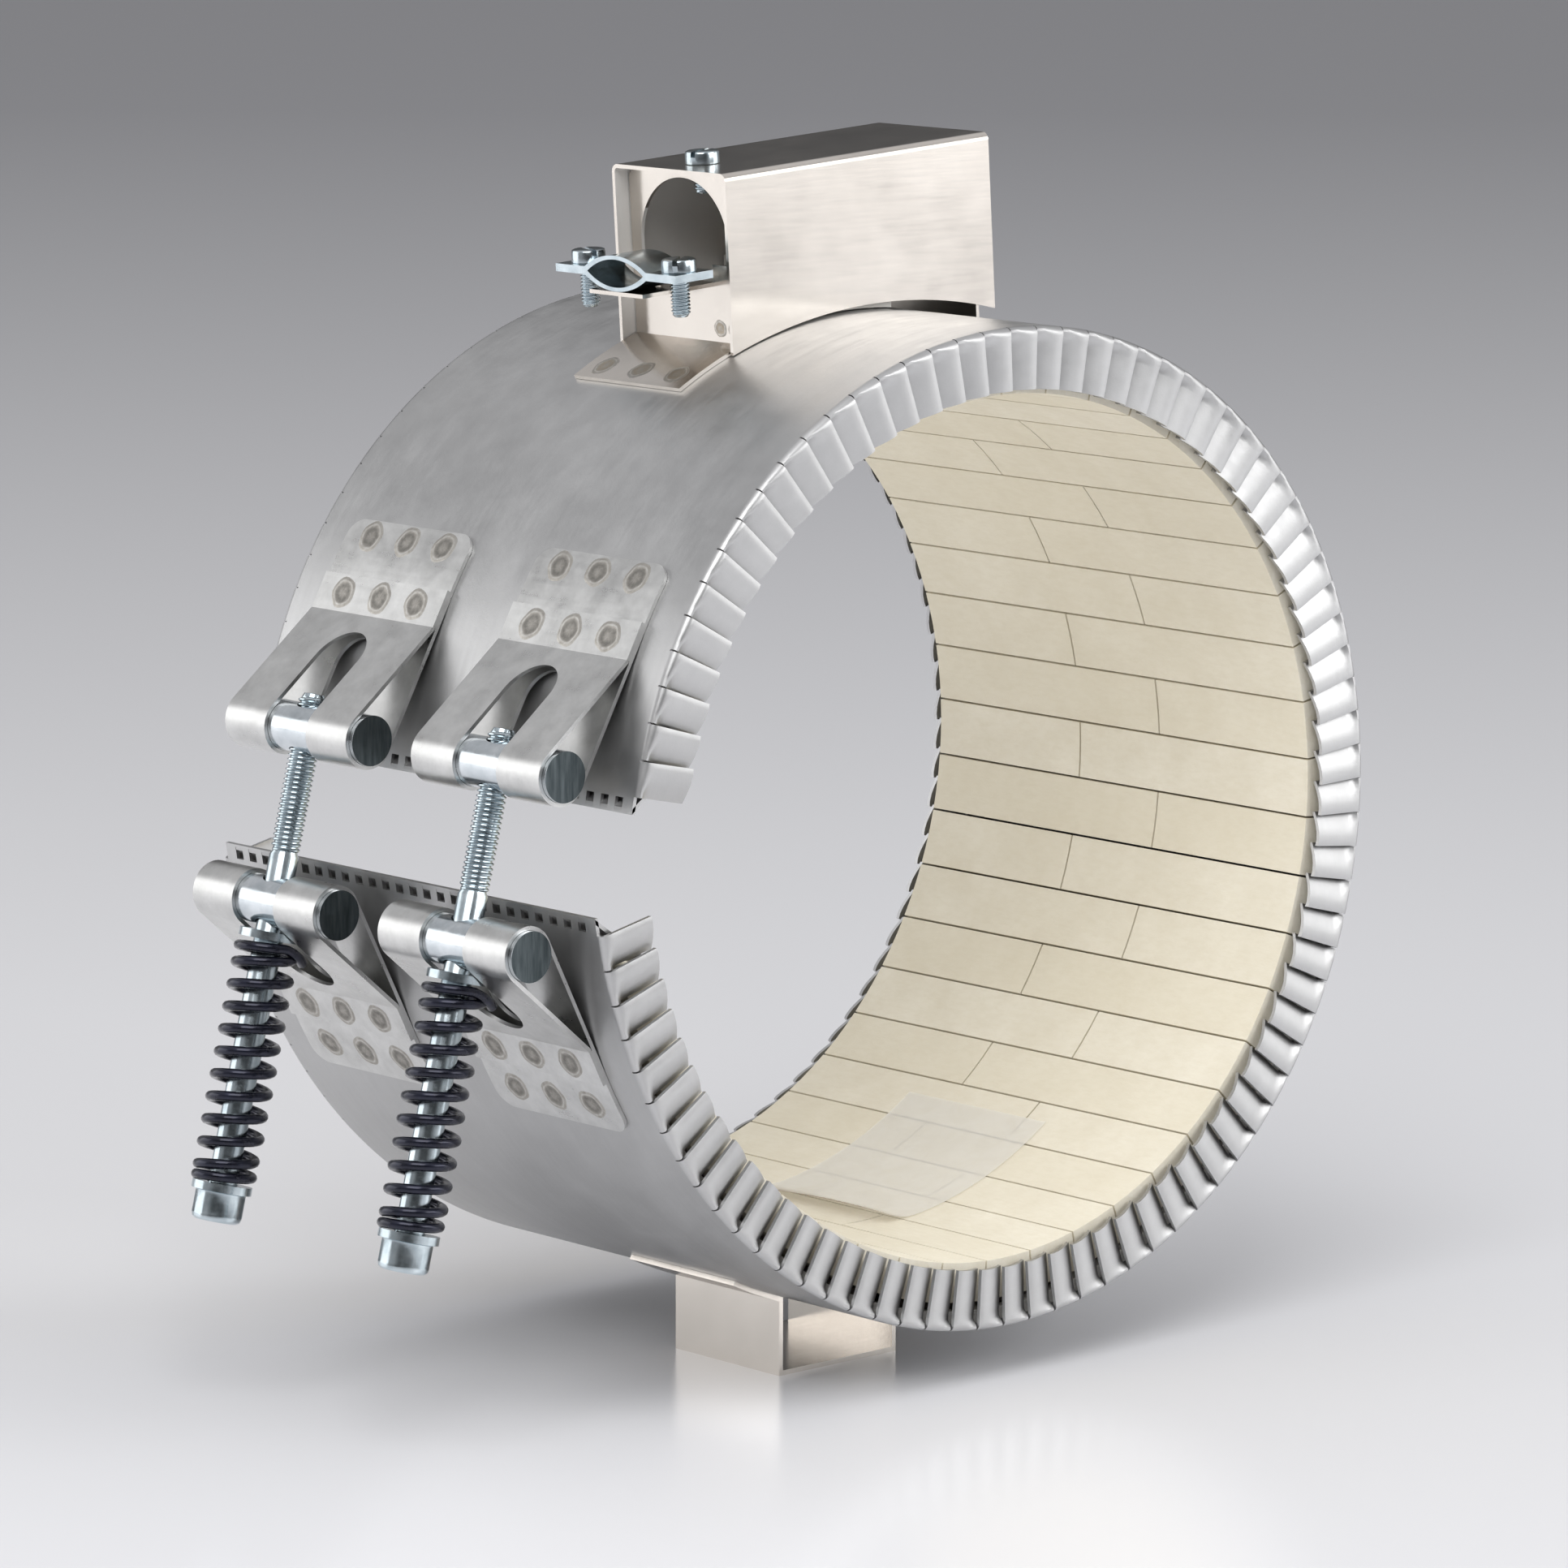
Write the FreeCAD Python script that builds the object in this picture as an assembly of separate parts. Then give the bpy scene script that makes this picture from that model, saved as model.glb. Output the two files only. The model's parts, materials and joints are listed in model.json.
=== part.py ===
"""Ceramic band heater for an extruder barrel: sheet steel band, ceramic tiles, two spring clamps,
terminal box with cable clamp, and a foot bracket.

Frame: origin on the barrel axis at the middle of the band's width, +Y along the axis towards the
back rim, +Z up through the terminal box, +X to the right with the clamping gap at -X.  Millimetres
and degrees throughout.
"""
import FreeCAD
import Part
import math
import os

Vector = FreeCAD.Vector
os.makedirs("parts", exist_ok=True)

# ---------------------------------------------------------------- band, driving sizes
bore_r = 87.5            # radius of the tiled inner face
band_w = 117.0           # width over both rims
wall = 13.5              # from the tiled face to the outside of the shell
shell_t = 0.8            # shell sheet
upper_end_a = 171.7      # angle of the band's upper end at the gap
loose_from_a = 252.0     # angle where the sprung lower end leaves the true circle
loose_extra = 14.0       # how much larger the radius of the sprung lower end is
lower_end_a = 188.9      # angle of the lower end, about the sprung end's own centre

# rims: the sheet is slit and folded in, tab over tab
tab_pitch = 7.3          # along the outside of the shell
tab_slit = 0.35          # width of the slit between two tabs
tab_step = 1.9           # how far each tab's leading edge stands proud of the next tab
tab_end_gap = 1.0        # from the tab ends out to the tiled face, radially
tab_bend = 1.3           # size of the bend between wall and tab
tab_root = 4.2           # how far each tab's root tapers back inside the wall
perf_pitch = 4.2         # perforated fold that closes each end of the band
perf_w = 1.8
perf_len = 2.4           # perforations, back along the shell
perf_depth = 1.5         # and into the fold
cap_lean = 11.6          # how far the inner edge of the fold leans away from the gap

# tiles
tile_t = 8.0
tile_row_pitch = 12.2    # along the tiled face
tile_gap = 0.45          # between neighbouring tiles
tile_long = 66.9
tile_half = 21.5
tile_end_clear = 0.6     # from a tile's end to the folded tabs
half_row_at = 34         # the one row that has a half tile at each end

# heating coil, drawn as the flat bar that its turns fill, behind the tiles
coil_w = 4.0
coil_t = 1.3
coil_inset = 2.3         # from the tile ends to the coil's end turns
coil_clear = 0.2

# retaining tape on the tiles
tape_t = 0.08
tape_from_a = -56.0
tape_to_a = -88.0
tape_y = 2.8
tape_w = 41.6

# clamps
clamp_y = 29.0           # clamps sit at plus and minus this
pin_r = 5.0
pin_len = 40.0
upper_pin_a = 168.7
upper_pin_off = 11.2     # pin axis above the shell's outer face
lower_pin_a = 191.5
lower_pin_off = 10.4
strap_t = 0.8
strap_w = 38.0
strap_fit = 0.05         # strap roll on the pin, and strap on the shell
strap_tail = 12.5        # inner ply welded along the shell
strap_double = 8.0       # length over which the outer ply lies on the inner one
strap_slot_w = 13.0
strap_slot_top = 22.0    # from the pin axis to the closed end of the slot
strap_corner_r = 4.0

# M6 socket head clamp screw with spring
screw_r = 2.95
screw_len = 100.0
screw_head_r = 5.0
screw_head_h = 6.0
screw_socket_af = 5.0
screw_socket_depth = 3.0
thread_fit = 0.05
pass_hole_r = 3.3
washer_r = 6.0
washer_hole_r = 3.2
washer_t = 1.6
spring_len = 49.0
spring_r = 7.1           # outside radius
spring_wire_r = 0.95
spring_turns = 11.5
spring_sides = 3         # facets round the wire
spring_steps = 9         # facets along one turn

# foot bracket, hat section
foot_t = 1.0
foot_x0 = -34.2
foot_x1 = -2.0
foot_y0 = -26.5
foot_y1 = 5.0
foot_z = -111.6
foot_flange = 11.5

# terminal box, in its own frame, which is turned about the barrel axis
box_turn = 3.8
box_mid_x = 5.8
box_mid_y = 2.2
box_len = 72.1
box_w = 34.0
box_top_z = 132.8
box_sheet = 0.8
box_bend_r = 1.6
box_arc_rise = 5.4       # how far the curved lower edge of the cover rises at its middle
box_side_h = 36.2        # cover height at its corners
wall_recess = 3.5        # end walls set back inside the cover
cover_fit = 0.3
arch_r = 13.0
arch_sill_z = 113.7
tongue_w = 16.0
wall_foot = 17.2         # foot of an end wall, along the shell
top_flange = 12.0

# cable clamp on the tongue
saddle_len = 43.2
saddle_w = 10.0
saddle_out = 15.2        # front edge of the saddles, ahead of the cover
saddle_z = 113.75        # where the two saddles meet
saddle_eye_w = 16.8
saddle_eye_h = 2.8
saddle_screw_gap = 27.2
m4_r = 1.95
m4_head_r = 3.5
m4_head_h = 2.6
m4_pass_r = 2.25
saddle_screw_len = 9.0
cover_screw_back = 9.5   # from the cover's end to its screw
cover_screw_len = 6.0

# terminals
block_len = 18.0
block_side_clear = 1.2   # from the block to the inside of the cover
block_top_z = 111.0
barrier_t = 2.5
barrier_h = 7.0
neck_len = 12.0          # part of the block that goes down through the shell
neck_w = 26.0
terminal_gap = 16.0
terminal_r = 2.4
terminal_depth = 7.0
terminal_af = 8.0
terminal_head_h = 4.0

# ---------------------------------------------------------------- derived sizes
shell_r = bore_r + wall
shell_in_r = shell_r - shell_t
tab_end_r = bore_r + tab_end_gap
rim_y = band_w / 2
tab_mid_y = rim_y - tab_step / 2          # outer face of a tab at its middle
tile_y = rim_y - tab_step - shell_t - tile_end_clear
tile_back_r = bore_r + tile_t
tile_corner = 1 / math.cos(tile_row_pitch / 2 / bore_r)   # corner of a flat-backed tile over its middle
coil_in_r = tile_back_r * tile_corner + coil_clear
coil_out_r = coil_in_r + coil_t
blanket_in_r = coil_out_r + coil_clear
blanket_out_r = shell_in_r - coil_clear
main_sweep = upper_end_a + 360 - loose_from_a
loose_sweep = loose_from_a - lower_end_a
loose_c = (-loose_extra * math.cos(math.radians(loose_from_a)),
           -loose_extra * math.sin(math.radians(loose_from_a)))
box_x0 = box_mid_x - box_len / 2
box_x1 = box_mid_x + box_len / 2
inner_top_z = box_top_z - box_sheet - strap_fit
wall_x = box_x0 + wall_recess
cap_from_r = shell_in_r + shell_t / 2
cap_angle = math.atan2(cap_lean, cap_from_r - tab_end_r)
cap_t = shell_t / math.cos(cap_angle)     # the fold's sheet, measured along the band
block_w = box_w - 2 * (box_sheet + block_side_clear)
far_wall_x = box_x1 - wall_recess


# ---------------------------------------------------------------- places along the band
def polar(centre, r, a, y=0.0):
    """Point at radius r and angle a (degrees) about a centre in the XZ plane."""
    t = math.radians(a)
    return Vector(centre[0] + r * math.cos(t), y, centre[1] + r * math.sin(t))


class Station:
    """A place along the band: its arc centre, extra radius, angle and local directions."""

    def __init__(self, s, at_r):
        """s is the arc length from the upper end, measured at radius at_r on the true circle."""
        main_len = math.radians(main_sweep) * at_r
        if s <= main_len:
            self.centre = (0.0, 0.0)
            self.extra = 0.0
            self.a = upper_end_a - math.degrees(s / at_r)
        else:
            self.centre = loose_c
            self.extra = loose_extra
            self.a = loose_from_a - math.degrees((s - main_len) / (at_r + loose_extra))
        t = math.radians(self.a)
        self.out = Vector(math.cos(t), 0, math.sin(t))
        self.along = Vector(math.sin(t), 0, -math.cos(t))

    def at(self, t, r, y=0.0):
        """Point t further along the band, at radius r and axial place y."""
        c = Vector(self.centre[0], y, self.centre[1])
        return c + self.out * (r + self.extra) + self.along * t


def band_length(r):
    """Length of the band at radius r, end to end."""
    return math.radians(main_sweep) * r + math.radians(loose_sweep) * (r + loose_extra)


def arc_through(centre, r, a0, a1, y=0.0):
    mid = (a0 + a1) / 2
    return Part.Arc(polar(centre, r, a0, y), polar(centre, r, mid, y), polar(centre, r, a1, y)).toShape()


def extrude_outline(edges, y0, y1):
    face = Part.Face(Part.Wire(Part.__sortEdges__(edges)))
    face.translate(Vector(0, y0, 0))
    return face.extrude(Vector(0, y1 - y0, 0))


def band_solid(r_in, r_out, half_w, inset):
    """One ply of the band: true circle and sprung end in one piece, both ends set in by inset."""
    a0 = upper_end_a - math.degrees(inset / r_in)
    a1 = lower_end_a + math.degrees(inset / (r_in + loose_extra))
    a_join = loose_from_a - 360
    edges = []
    for r in (r_in, r_out):
        edges.append(arc_through((0, 0), r, a0, a_join))
        edges.append(arc_through(loose_c, r + loose_extra, a_join, a1 - 360))
    edges.append(Part.makeLine(polar((0, 0), r_in, a0), polar((0, 0), r_out, a0)))
    edges.append(Part.makeLine(polar(loose_c, r_in + loose_extra, a1), polar(loose_c, r_out + loose_extra, a1)))
    return extrude_outline(edges, -half_w, half_w)


def prism(points, y0, y1):
    """Straight prism along Y on a closed outline of XZ points."""
    ring = [Vector(p.x, y0, p.z) for p in points]
    return Part.Face(Part.makePolygon(ring + ring[:1])).extrude(Vector(0, y1 - y0, 0))


def local_block(st, t0, t1, r0, r1, y0, y1):
    """Block in a station's own directions."""
    return prism([st.at(t0, r0), st.at(t1, r0), st.at(t1, r1), st.at(t0, r1)], y0, y1)


def cylinder(r, h, base, axis):
    return Part.makeCylinder(r, h, base, axis)


def save(node, shape):
    """One STEP file for a node; a list of like solids shares the node."""
    solid = Part.makeCompound(shape) if isinstance(shape, list) else shape
    solid.exportStep("parts/" + node + ".step")


# ---------------------------------------------------------------- shell with its folded rims
def cap_reach(r):
    """How far from the band's end the inside of the leaning fold is, at radius r."""
    return (cap_from_r - r) * math.tan(cap_angle) + cap_t


def tab(st, side):
    """One folded rim tab, tilted so that its leading edge laps over the next; side is -1 or +1."""
    half = (tab_pitch - tab_slit) / 2
    skin = shell_t * 0.2
    y_face = side * tab_mid_y
    section = [(shell_r - skin, tab_bend + tab_root), (shell_r - skin, 0.0), (tab_end_r, 0.0),
               (tab_end_r, shell_t), (shell_in_r + skin, shell_t)]
    points = [st.at(-half, r, y_face - side * back - side * tab_step / 2) for r, back in section]
    face = Part.Face(Part.makePolygon(points + points[:1]))
    return face.extrude(st.along * (2 * half) + Vector(0, side * tab_step, 0))


def make_shell():
    length = band_length(shell_r)
    count = int(length / tab_pitch)
    start = (length - count * tab_pitch) / 2
    body_half = rim_y - tab_step - tab_bend
    body = band_solid(shell_in_r, shell_r, body_half, 0.0)
    pieces = []
    for i in range(count):
        st = Station(start + (i + 0.5) * tab_pitch, shell_r)
        pieces += [tab(st, -1), tab(st, 1)]
    ends = [(Station(0.0, shell_r), 1), (Station(length, shell_r), -1)]
    for st, into in ends:
        fold = [st.at(into * t, r) for t, r in ((0.0, cap_from_r), (cap_t, cap_from_r),
                                                (cap_lean + cap_t, tab_end_r), (cap_lean, tab_end_r))]
        pieces.append(prism(fold, -body_half, body_half))
    shell = body.multiFuse(pieces)
    holes = []
    rows = int(2 * body_half / perf_pitch)
    for st, into in ends:
        notch = [st.at(into * perf_len, shell_r + tab_slit), st.at(-into * tab_slit, shell_r + tab_slit),
                 st.at(-into * tab_slit, shell_r - perf_depth)]
        for k in range(rows):
            y = (k - (rows - 1) / 2) * perf_pitch
            holes.append(prism(notch, y - perf_w / 2, y + perf_w / 2))
    holes.append(lead_window(cover_fit))
    return shell.cut(Part.makeCompound(holes))


# ---------------------------------------------------------------- tiles, coil and blanket
def tile_rows():
    count = int((band_length(bore_r) - 2 * cap_lean) / tile_row_pitch)
    start = (band_length(bore_r) - count * tile_row_pitch) / 2
    return [Station(start + (i + 0.5) * tile_row_pitch, bore_r) for i in range(count)]


def tile(st, y0, y1):
    """Tile with a curved face, radial sides and a flat back."""
    r = bore_r + st.extra
    half_a = math.degrees((tile_row_pitch - tile_gap) / 2 / r)
    a0, a1 = st.a - half_a, st.a + half_a
    back_r = (tile_back_r + st.extra) / math.cos(math.radians(half_a))
    ring = [polar(st.centre, r, a0), polar(st.centre, back_r, a0), polar(st.centre, back_r, a1),
            polar(st.centre, r, a1)]
    edges = [Part.makeLine(p, q) for p, q in zip(ring, ring[1:])]
    edges.append(arc_through(st.centre, r, a0, a1))
    return extrude_outline(edges, y0, y1)


def make_tiles():
    """Rows of a long and a short tile, laid like bricks; one row has half tiles at both ends."""
    long_ones, short_ones, half_ones = [], [], []
    for i, st in enumerate(tile_rows()):
        if i == half_row_at:
            half_ones.append(tile(st, -tile_y, -tile_y + tile_half))
            half_ones.append(tile(st, tile_y - tile_half, tile_y))
            long_ones.append(tile(st, -tile_y + tile_half + tile_gap, tile_y - tile_half - tile_gap))
        elif i % 2:
            short_ones.append(tile(st, -tile_y, tile_y - tile_long - tile_gap))
            long_ones.append(tile(st, tile_y - tile_long, tile_y))
        else:
            long_ones.append(tile(st, -tile_y, -tile_y + tile_long))
            short_ones.append(tile(st, -tile_y + tile_long + tile_gap, tile_y))
    return long_ones, short_ones, half_ones


def make_coil():
    """One zigzag: a run behind every row of tiles, joined at alternate rims."""
    runs = tile_rows()
    y_out = tile_y - coil_inset
    half = coil_w / 2
    pieces = []
    for i, st in enumerate(runs):
        pieces.append(local_block(st, -half, half, coil_in_r, coil_out_r, -y_out, y_out))
        if i + 1 < len(runs):
            nxt = runs[i + 1]
            corners = [st.at(half, coil_in_r), st.at(half, coil_out_r),
                       nxt.at(-half, coil_out_r), nxt.at(-half, coil_in_r)]
            y0, y1 = (y_out - coil_w, y_out) if i % 2 else (-y_out, coil_w - y_out)
            pieces.append(prism(corners, y0, y1))
    return pieces[0].multiFuse(pieces[1:])


def make_tape():
    edges = [arc_through((0, 0), r, tape_from_a, tape_to_a) for r in (bore_r - tape_t, bore_r)]
    for a in (tape_from_a, tape_to_a):
        edges.append(Part.makeLine(polar((0, 0), bore_r - tape_t, a), polar((0, 0), bore_r, a)))
    return extrude_outline(edges, tape_y - tape_w / 2, tape_y + tape_w / 2)


# ---------------------------------------------------------------- clamps
class ClampEnd:
    """Geometry of one pin and strap: the shell's arc, the pin's centre and the side it lies on."""

    def __init__(self, centre, r, pin_a, pin_off, turn):
        self.centre = centre
        self.r = r
        self.reach = r + pin_off
        t = math.radians(pin_a)
        self.u = Vector(math.cos(t), 0, math.sin(t))
        self.v = Vector(math.sin(t), 0, -math.cos(t)) * turn
        self.pin = self.at(self.reach, 0)
        self.roll = pin_r + strap_fit + strap_t / 2
        self.tangent_a = math.degrees(math.acos((r + strap_fit + strap_t / 2 + self.roll) / self.reach))

    def at(self, u, v, y=0.0):
        return Vector(self.centre[0], y, self.centre[1]) + self.u * u + self.v * v

    def spin(self, base, r, a):
        """Point at radius r and angle a from the pin's own direction, about a base given in u, v."""
        t = math.radians(a)
        return self.at(base[0] + r * math.cos(t), base[1] + r * math.sin(t))

    def ring(self, base, r0, r1, a0, a1):
        """Curved stretch of sheet between two radii."""
        mid = (a0 + a1) / 2
        edges = [Part.Arc(self.spin(base, r, a0), self.spin(base, r, mid), self.spin(base, r, a1)).toShape()
                 for r in (r0, r1)]
        edges += [Part.makeLine(self.spin(base, r0, a), self.spin(base, r1, a)) for a in (a0, a1)]
        return extrude_outline(edges, -strap_w / 2, strap_w / 2)

    def flat(self, p, q):
        """Straight stretch of sheet on the middle line from p to q."""
        side = (q - p).cross(Vector(0, 1, 0)).normalize() * (strap_t / 2)
        return prism([p + side, q + side, q - side, p - side], -strap_w / 2, strap_w / 2)


def make_strap(end, y_mid):
    """Hairpin of sheet rolled round the pin: inner ply welded on, outer ply welded over it."""
    a = end.tangent_a
    t = math.radians(a)
    weld_r = end.r + strap_fit + strap_t / 2
    tail_a = a + math.degrees(strap_tail / weld_r)
    normal = end.u * math.cos(t) + end.v * math.sin(t)
    down = end.u * math.sin(t) - end.v * math.cos(t)
    leave = end.spin((0, 0), weld_r, a)
    reach_pin = end.pin - normal * end.roll
    lap = leave + normal * strap_t
    kink = lap + down * strap_double
    to_kink = kink - end.pin
    kink_a = math.degrees(math.atan2(to_kink.dot(end.v), to_kink.dot(end.u)))
    off_a = kink_a - math.degrees(math.acos(end.roll / to_kink.Length))
    base = (end.reach, 0.0)
    roll_end = end.spin(base, end.roll, off_a)
    sheet = [end.ring((0, 0), weld_r - strap_t / 2, weld_r + strap_t / 2, a, tail_a),
             end.flat(leave, reach_pin),
             end.ring(base, end.roll - strap_t / 2, end.roll + strap_t / 2, 180 + a, 360 + off_a),
             end.flat(roll_end, kink), end.flat(kink, lap)]
    strap = sheet[0].multiFuse(sheet[1:]).removeSplitter()
    corners = [e for e in strap.Edges if is_tail_corner(e, end, tail_a, weld_r)]
    strap = strap.makeFillet(strap_corner_r, corners)
    strap = strap.cut(strap_slot(end, normal, down))
    strap.translate(Vector(0, y_mid, 0))
    return strap


def is_tail_corner(edge, end, tail_a, weld_r):
    """True for the two short edges across the sheet at the welded end of the strap."""
    tip = end.spin((0, 0), weld_r, tail_a)
    mid = edge.BoundBox.Center
    near = math.hypot(mid.x - tip.x, mid.z - tip.z) < strap_t / 2
    return near and abs(abs(mid.y) - strap_w / 2) < strap_fit and edge.Length < 2 * strap_t


def strap_slot(end, normal, down):
    """Slot between the two legs, open at the roll and round at its top, for the clamp screw."""
    half = strap_slot_w / 2
    deep = end.roll + strap_t + strap_double
    top = end.pin - down * (strap_slot_top - half)
    foot = end.pin + down * (end.roll + strap_t)
    ring = [top - normal * deep, foot - normal * deep, foot + normal * deep, top + normal * deep]
    legs = prism(ring, -half, half)
    return legs.fuse(cylinder(half, 2 * deep, top - normal * deep, normal))


def make_pin(end, y_mid, axis, hole_r):
    """Cross pin with a hole across it for the screw."""
    centre = end.pin + Vector(0, y_mid, 0)
    pin = cylinder(pin_r, pin_len, centre - Vector(0, pin_len / 2, 0), Vector(0, 1, 0))
    return pin.cut(cylinder(hole_r, 4 * pin_r, centre - axis * (2 * pin_r), axis))


def revolve(base, axis, outline):
    """Turned solid: outline is a list of (radius, distance along the axis) points."""
    side = axis.cross(Vector(0, 1, 0)).normalize()
    points = [base + side * r + axis * h for r, h in outline]
    return Part.Face(Part.makePolygon(points + points[:1])).revolve(base, axis, 360)


def hex_prism(base, axis, af, h):
    side = axis.cross(Vector(0, 1, 0)).normalize()
    other = axis.cross(side)
    r = af / math.sqrt(3)
    turn = [math.radians(60 * k) for k in range(6)]
    points = [base + side * (r * math.cos(a)) + other * (r * math.sin(a)) for a in turn]
    return Part.Face(Part.makePolygon(points + points[:1])).extrude(axis * h)


def make_clamp_screw(under_head, axis):
    """Socket head screw; axis points from the head to the tip."""
    h = screw_head_h
    blank = revolve(under_head, axis, [(0, -h), (screw_head_r, -h), (screw_head_r, 0), (screw_r, 0),
                                       (screw_r, screw_len), (0, screw_len)])
    return blank.cut(hex_prism(under_head - axis * h, axis, screw_socket_af, screw_socket_depth))


def make_washer(base, axis):
    return revolve(base, axis, [(washer_hole_r, 0), (washer_r, 0), (washer_r, washer_t), (washer_hole_r, washer_t)])


def make_spring(base, axis):
    """Compression spring as a faceted wire: rings of points joined by flat triangles."""
    side = axis.cross(Vector(0, 1, 0)).normalize()
    other = axis.cross(side)
    mean_r = spring_r - spring_wire_r
    steps = int(spring_turns * spring_steps)
    rise = (spring_len - 2 * spring_wire_r) / spring_turns
    rings = []
    for i in range(steps + 1):
        turns = spring_turns * i / steps
        a = 2 * math.pi * turns
        out = side * math.cos(a) + other * math.sin(a)
        ring = []
        for k in range(spring_sides):
            b = 2 * math.pi * k / spring_sides
            reach = mean_r + spring_wire_r * math.cos(b)
            ring.append(base + out * reach + axis * (spring_wire_r * (1 + math.sin(b)) + rise * turns))
        rings.append(ring)
    faces = [Part.Face(Part.makePolygon(r + r[:1])) for r in (rings[0], rings[-1])]
    for lo, hi in zip(rings, rings[1:]):
        for k in range(spring_sides):
            n = (k + 1) % spring_sides
            for corner in ((lo[k], lo[n], hi[n]), (lo[k], hi[n], hi[k])):
                faces.append(Part.Face(Part.makePolygon(list(corner) + [corner[0]])))
    spring = Part.makeSolid(Part.makeShell(faces))
    return spring if spring.Volume > 0 else spring.reversed()


def make_clamps():
    upper = ClampEnd((0.0, 0.0), shell_r, upper_pin_a, upper_pin_off, 1)
    lower = ClampEnd(loose_c, shell_r + loose_extra, lower_pin_a, lower_pin_off, -1)
    axis = (upper.pin - lower.pin).normalize()
    seat = lower.roll + strap_t / 2 + strap_fit
    places = (-clamp_y, clamp_y)
    save("straps_upper", [make_strap(upper, y) for y in places])
    save("straps_lower", [make_strap(lower, y) for y in places])
    save("pins_upper", [make_pin(upper, y, axis, screw_r + thread_fit) for y in places])
    save("pins_lower", [make_pin(lower, y, axis, pass_hole_r) for y in places])
    washer_top = lower.pin - axis * seat
    spring_foot = washer_top - axis * (washer_t + spring_len)
    head_washer = spring_foot - axis * washer_t
    save("seat_washers", [make_washer(washer_top - axis * washer_t + Vector(0, y, 0), axis) for y in places])
    for name, y in zip(("front", "rear"), places):
        shift = Vector(0, y, 0)
        save("spring_" + name, make_spring(spring_foot + shift, axis))
        save("head_washer_" + name, make_washer(head_washer + shift, axis))
        save("clamp_screw_" + name, make_clamp_screw(head_washer + shift, axis))


# ---------------------------------------------------------------- foot bracket
def make_foot():
    """Hat section: flat base, two webs, and flanges that follow the shell."""
    outer_r = shell_r + strap_fit
    z_top = -math.sqrt(outer_r ** 2 - foot_x0 ** 2) + foot_t
    base = Part.makeBox(foot_x1 - foot_x0, foot_y1 - foot_y0, foot_t, Vector(foot_x0, foot_y0, foot_z))
    bracket = base
    for x in (foot_x0, foot_x1 - foot_t):
        web = Part.makeBox(foot_t, foot_y1 - foot_y0, z_top - foot_z, Vector(x, foot_y0, foot_z))
        bracket = bracket.fuse(web)
    left_a = 360 - math.degrees(math.acos((foot_x0 - loose_c[0]) / (outer_r + loose_extra)))
    right_a = 360 - math.degrees(math.acos((foot_x1 - foot_t) / outer_r))
    reach = math.degrees(foot_flange / outer_r)
    keep_out = cylinder(outer_r, band_w, Vector(0, -band_w / 2, 0), Vector(0, 1, 0))
    keep_out = keep_out.fuse(cylinder(outer_r + loose_extra, band_w,
                                      Vector(loose_c[0], -band_w / 2, loose_c[1]), Vector(0, 1, 0)))
    flanges = [(loose_c, loose_extra, left_a - reach, left_a + foot_t / 2), ((0, 0), 0.0, right_a, right_a + reach)]
    for centre, extra, a0, a1 in flanges:
        edges = [arc_through(centre, outer_r + extra + d, a0, a1) for d in (0, foot_t)]
        for a in (a0, a1):
            edges.append(Part.makeLine(polar(centre, outer_r + extra, a), polar(centre, outer_r + extra + foot_t, a)))
        bracket = bracket.fuse(extrude_outline(edges, foot_y0, foot_y1))
    return bracket.cut(keep_out).removeSplitter()


# ---------------------------------------------------------------- terminal box
def turn_box(shape):
    """From the box's own upright frame to its place on the shell."""
    shape.rotate(Vector(0, 0, 0), Vector(0, 1, 0), -box_turn)
    return shape


def save_box(node, shape):
    if isinstance(shape, list):
        save(node, [turn_box(s) for s in shape])
    else:
        save(node, turn_box(shape))


def channel_section(x, half, top, t, r):
    """Closed outline of an inverted U with rounded outer corners, at a given x."""
    y = box_mid_y
    inner = r - t
    s = math.sqrt(0.5)
    foot = top - box_side_h - box_arc_rise

    def pt(dy, z):
        return Vector(x, y + dy, z)

    def corner(side, cr, h):
        c = (side * (half - r), top - r)
        near, far = pt(side * h, top - r), pt(c[0], top - r + cr)
        mid = pt(c[0] + side * cr * s, c[1] + cr * s)
        return near, mid, far

    edges = []
    for cr, h, z in ((r, half, top), (inner, half - t, top - t)):
        a0, am, a1 = corner(-1, cr, h)
        b0, bm, b1 = corner(1, cr, h)
        edges += [Part.makeLine(pt(-h, foot), a0), Part.Arc(a0, am, a1).toShape(), Part.makeLine(a1, b1),
                  Part.Arc(b1, bm, b0).toShape(), Part.makeLine(b0, pt(h, foot))]
    edges += [Part.makeLine(pt(-half, foot), pt(t - half, foot)), Part.makeLine(pt(half, foot), pt(half - t, foot))]
    return Part.Wire(Part.__sortEdges__(edges))


def make_cover():
    """Inverted channel whose lower edges are cut to an arc."""
    section = channel_section(box_x0, box_w / 2, box_top_z, box_sheet, box_bend_r)
    cover = Part.Face(section).extrude(Vector(box_len, 0, 0))
    arc_r = ((box_len / 2) ** 2 + box_arc_rise ** 2) / (2 * box_arc_rise)
    corner_z = box_top_z - box_side_h
    arc_c = Vector(box_mid_x, box_mid_y - box_w, corner_z + box_arc_rise - arc_r)
    cover = cover.cut(cylinder(arc_r, 2 * box_w, arc_c, Vector(0, 1, 0)))
    hole = cylinder(m4_pass_r, 4 * box_sheet, Vector(box_x0 + cover_screw_back, box_mid_y, box_top_z - 3 * box_sheet),
                    Vector(0, 0, 1))
    return cover.cut(hole)


def box_plate(x0, x1, y_half, z0, z1):
    return Part.makeBox(x1 - x0, 2 * y_half, z1 - z0, Vector(x0, box_mid_y - y_half, z0))


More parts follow.
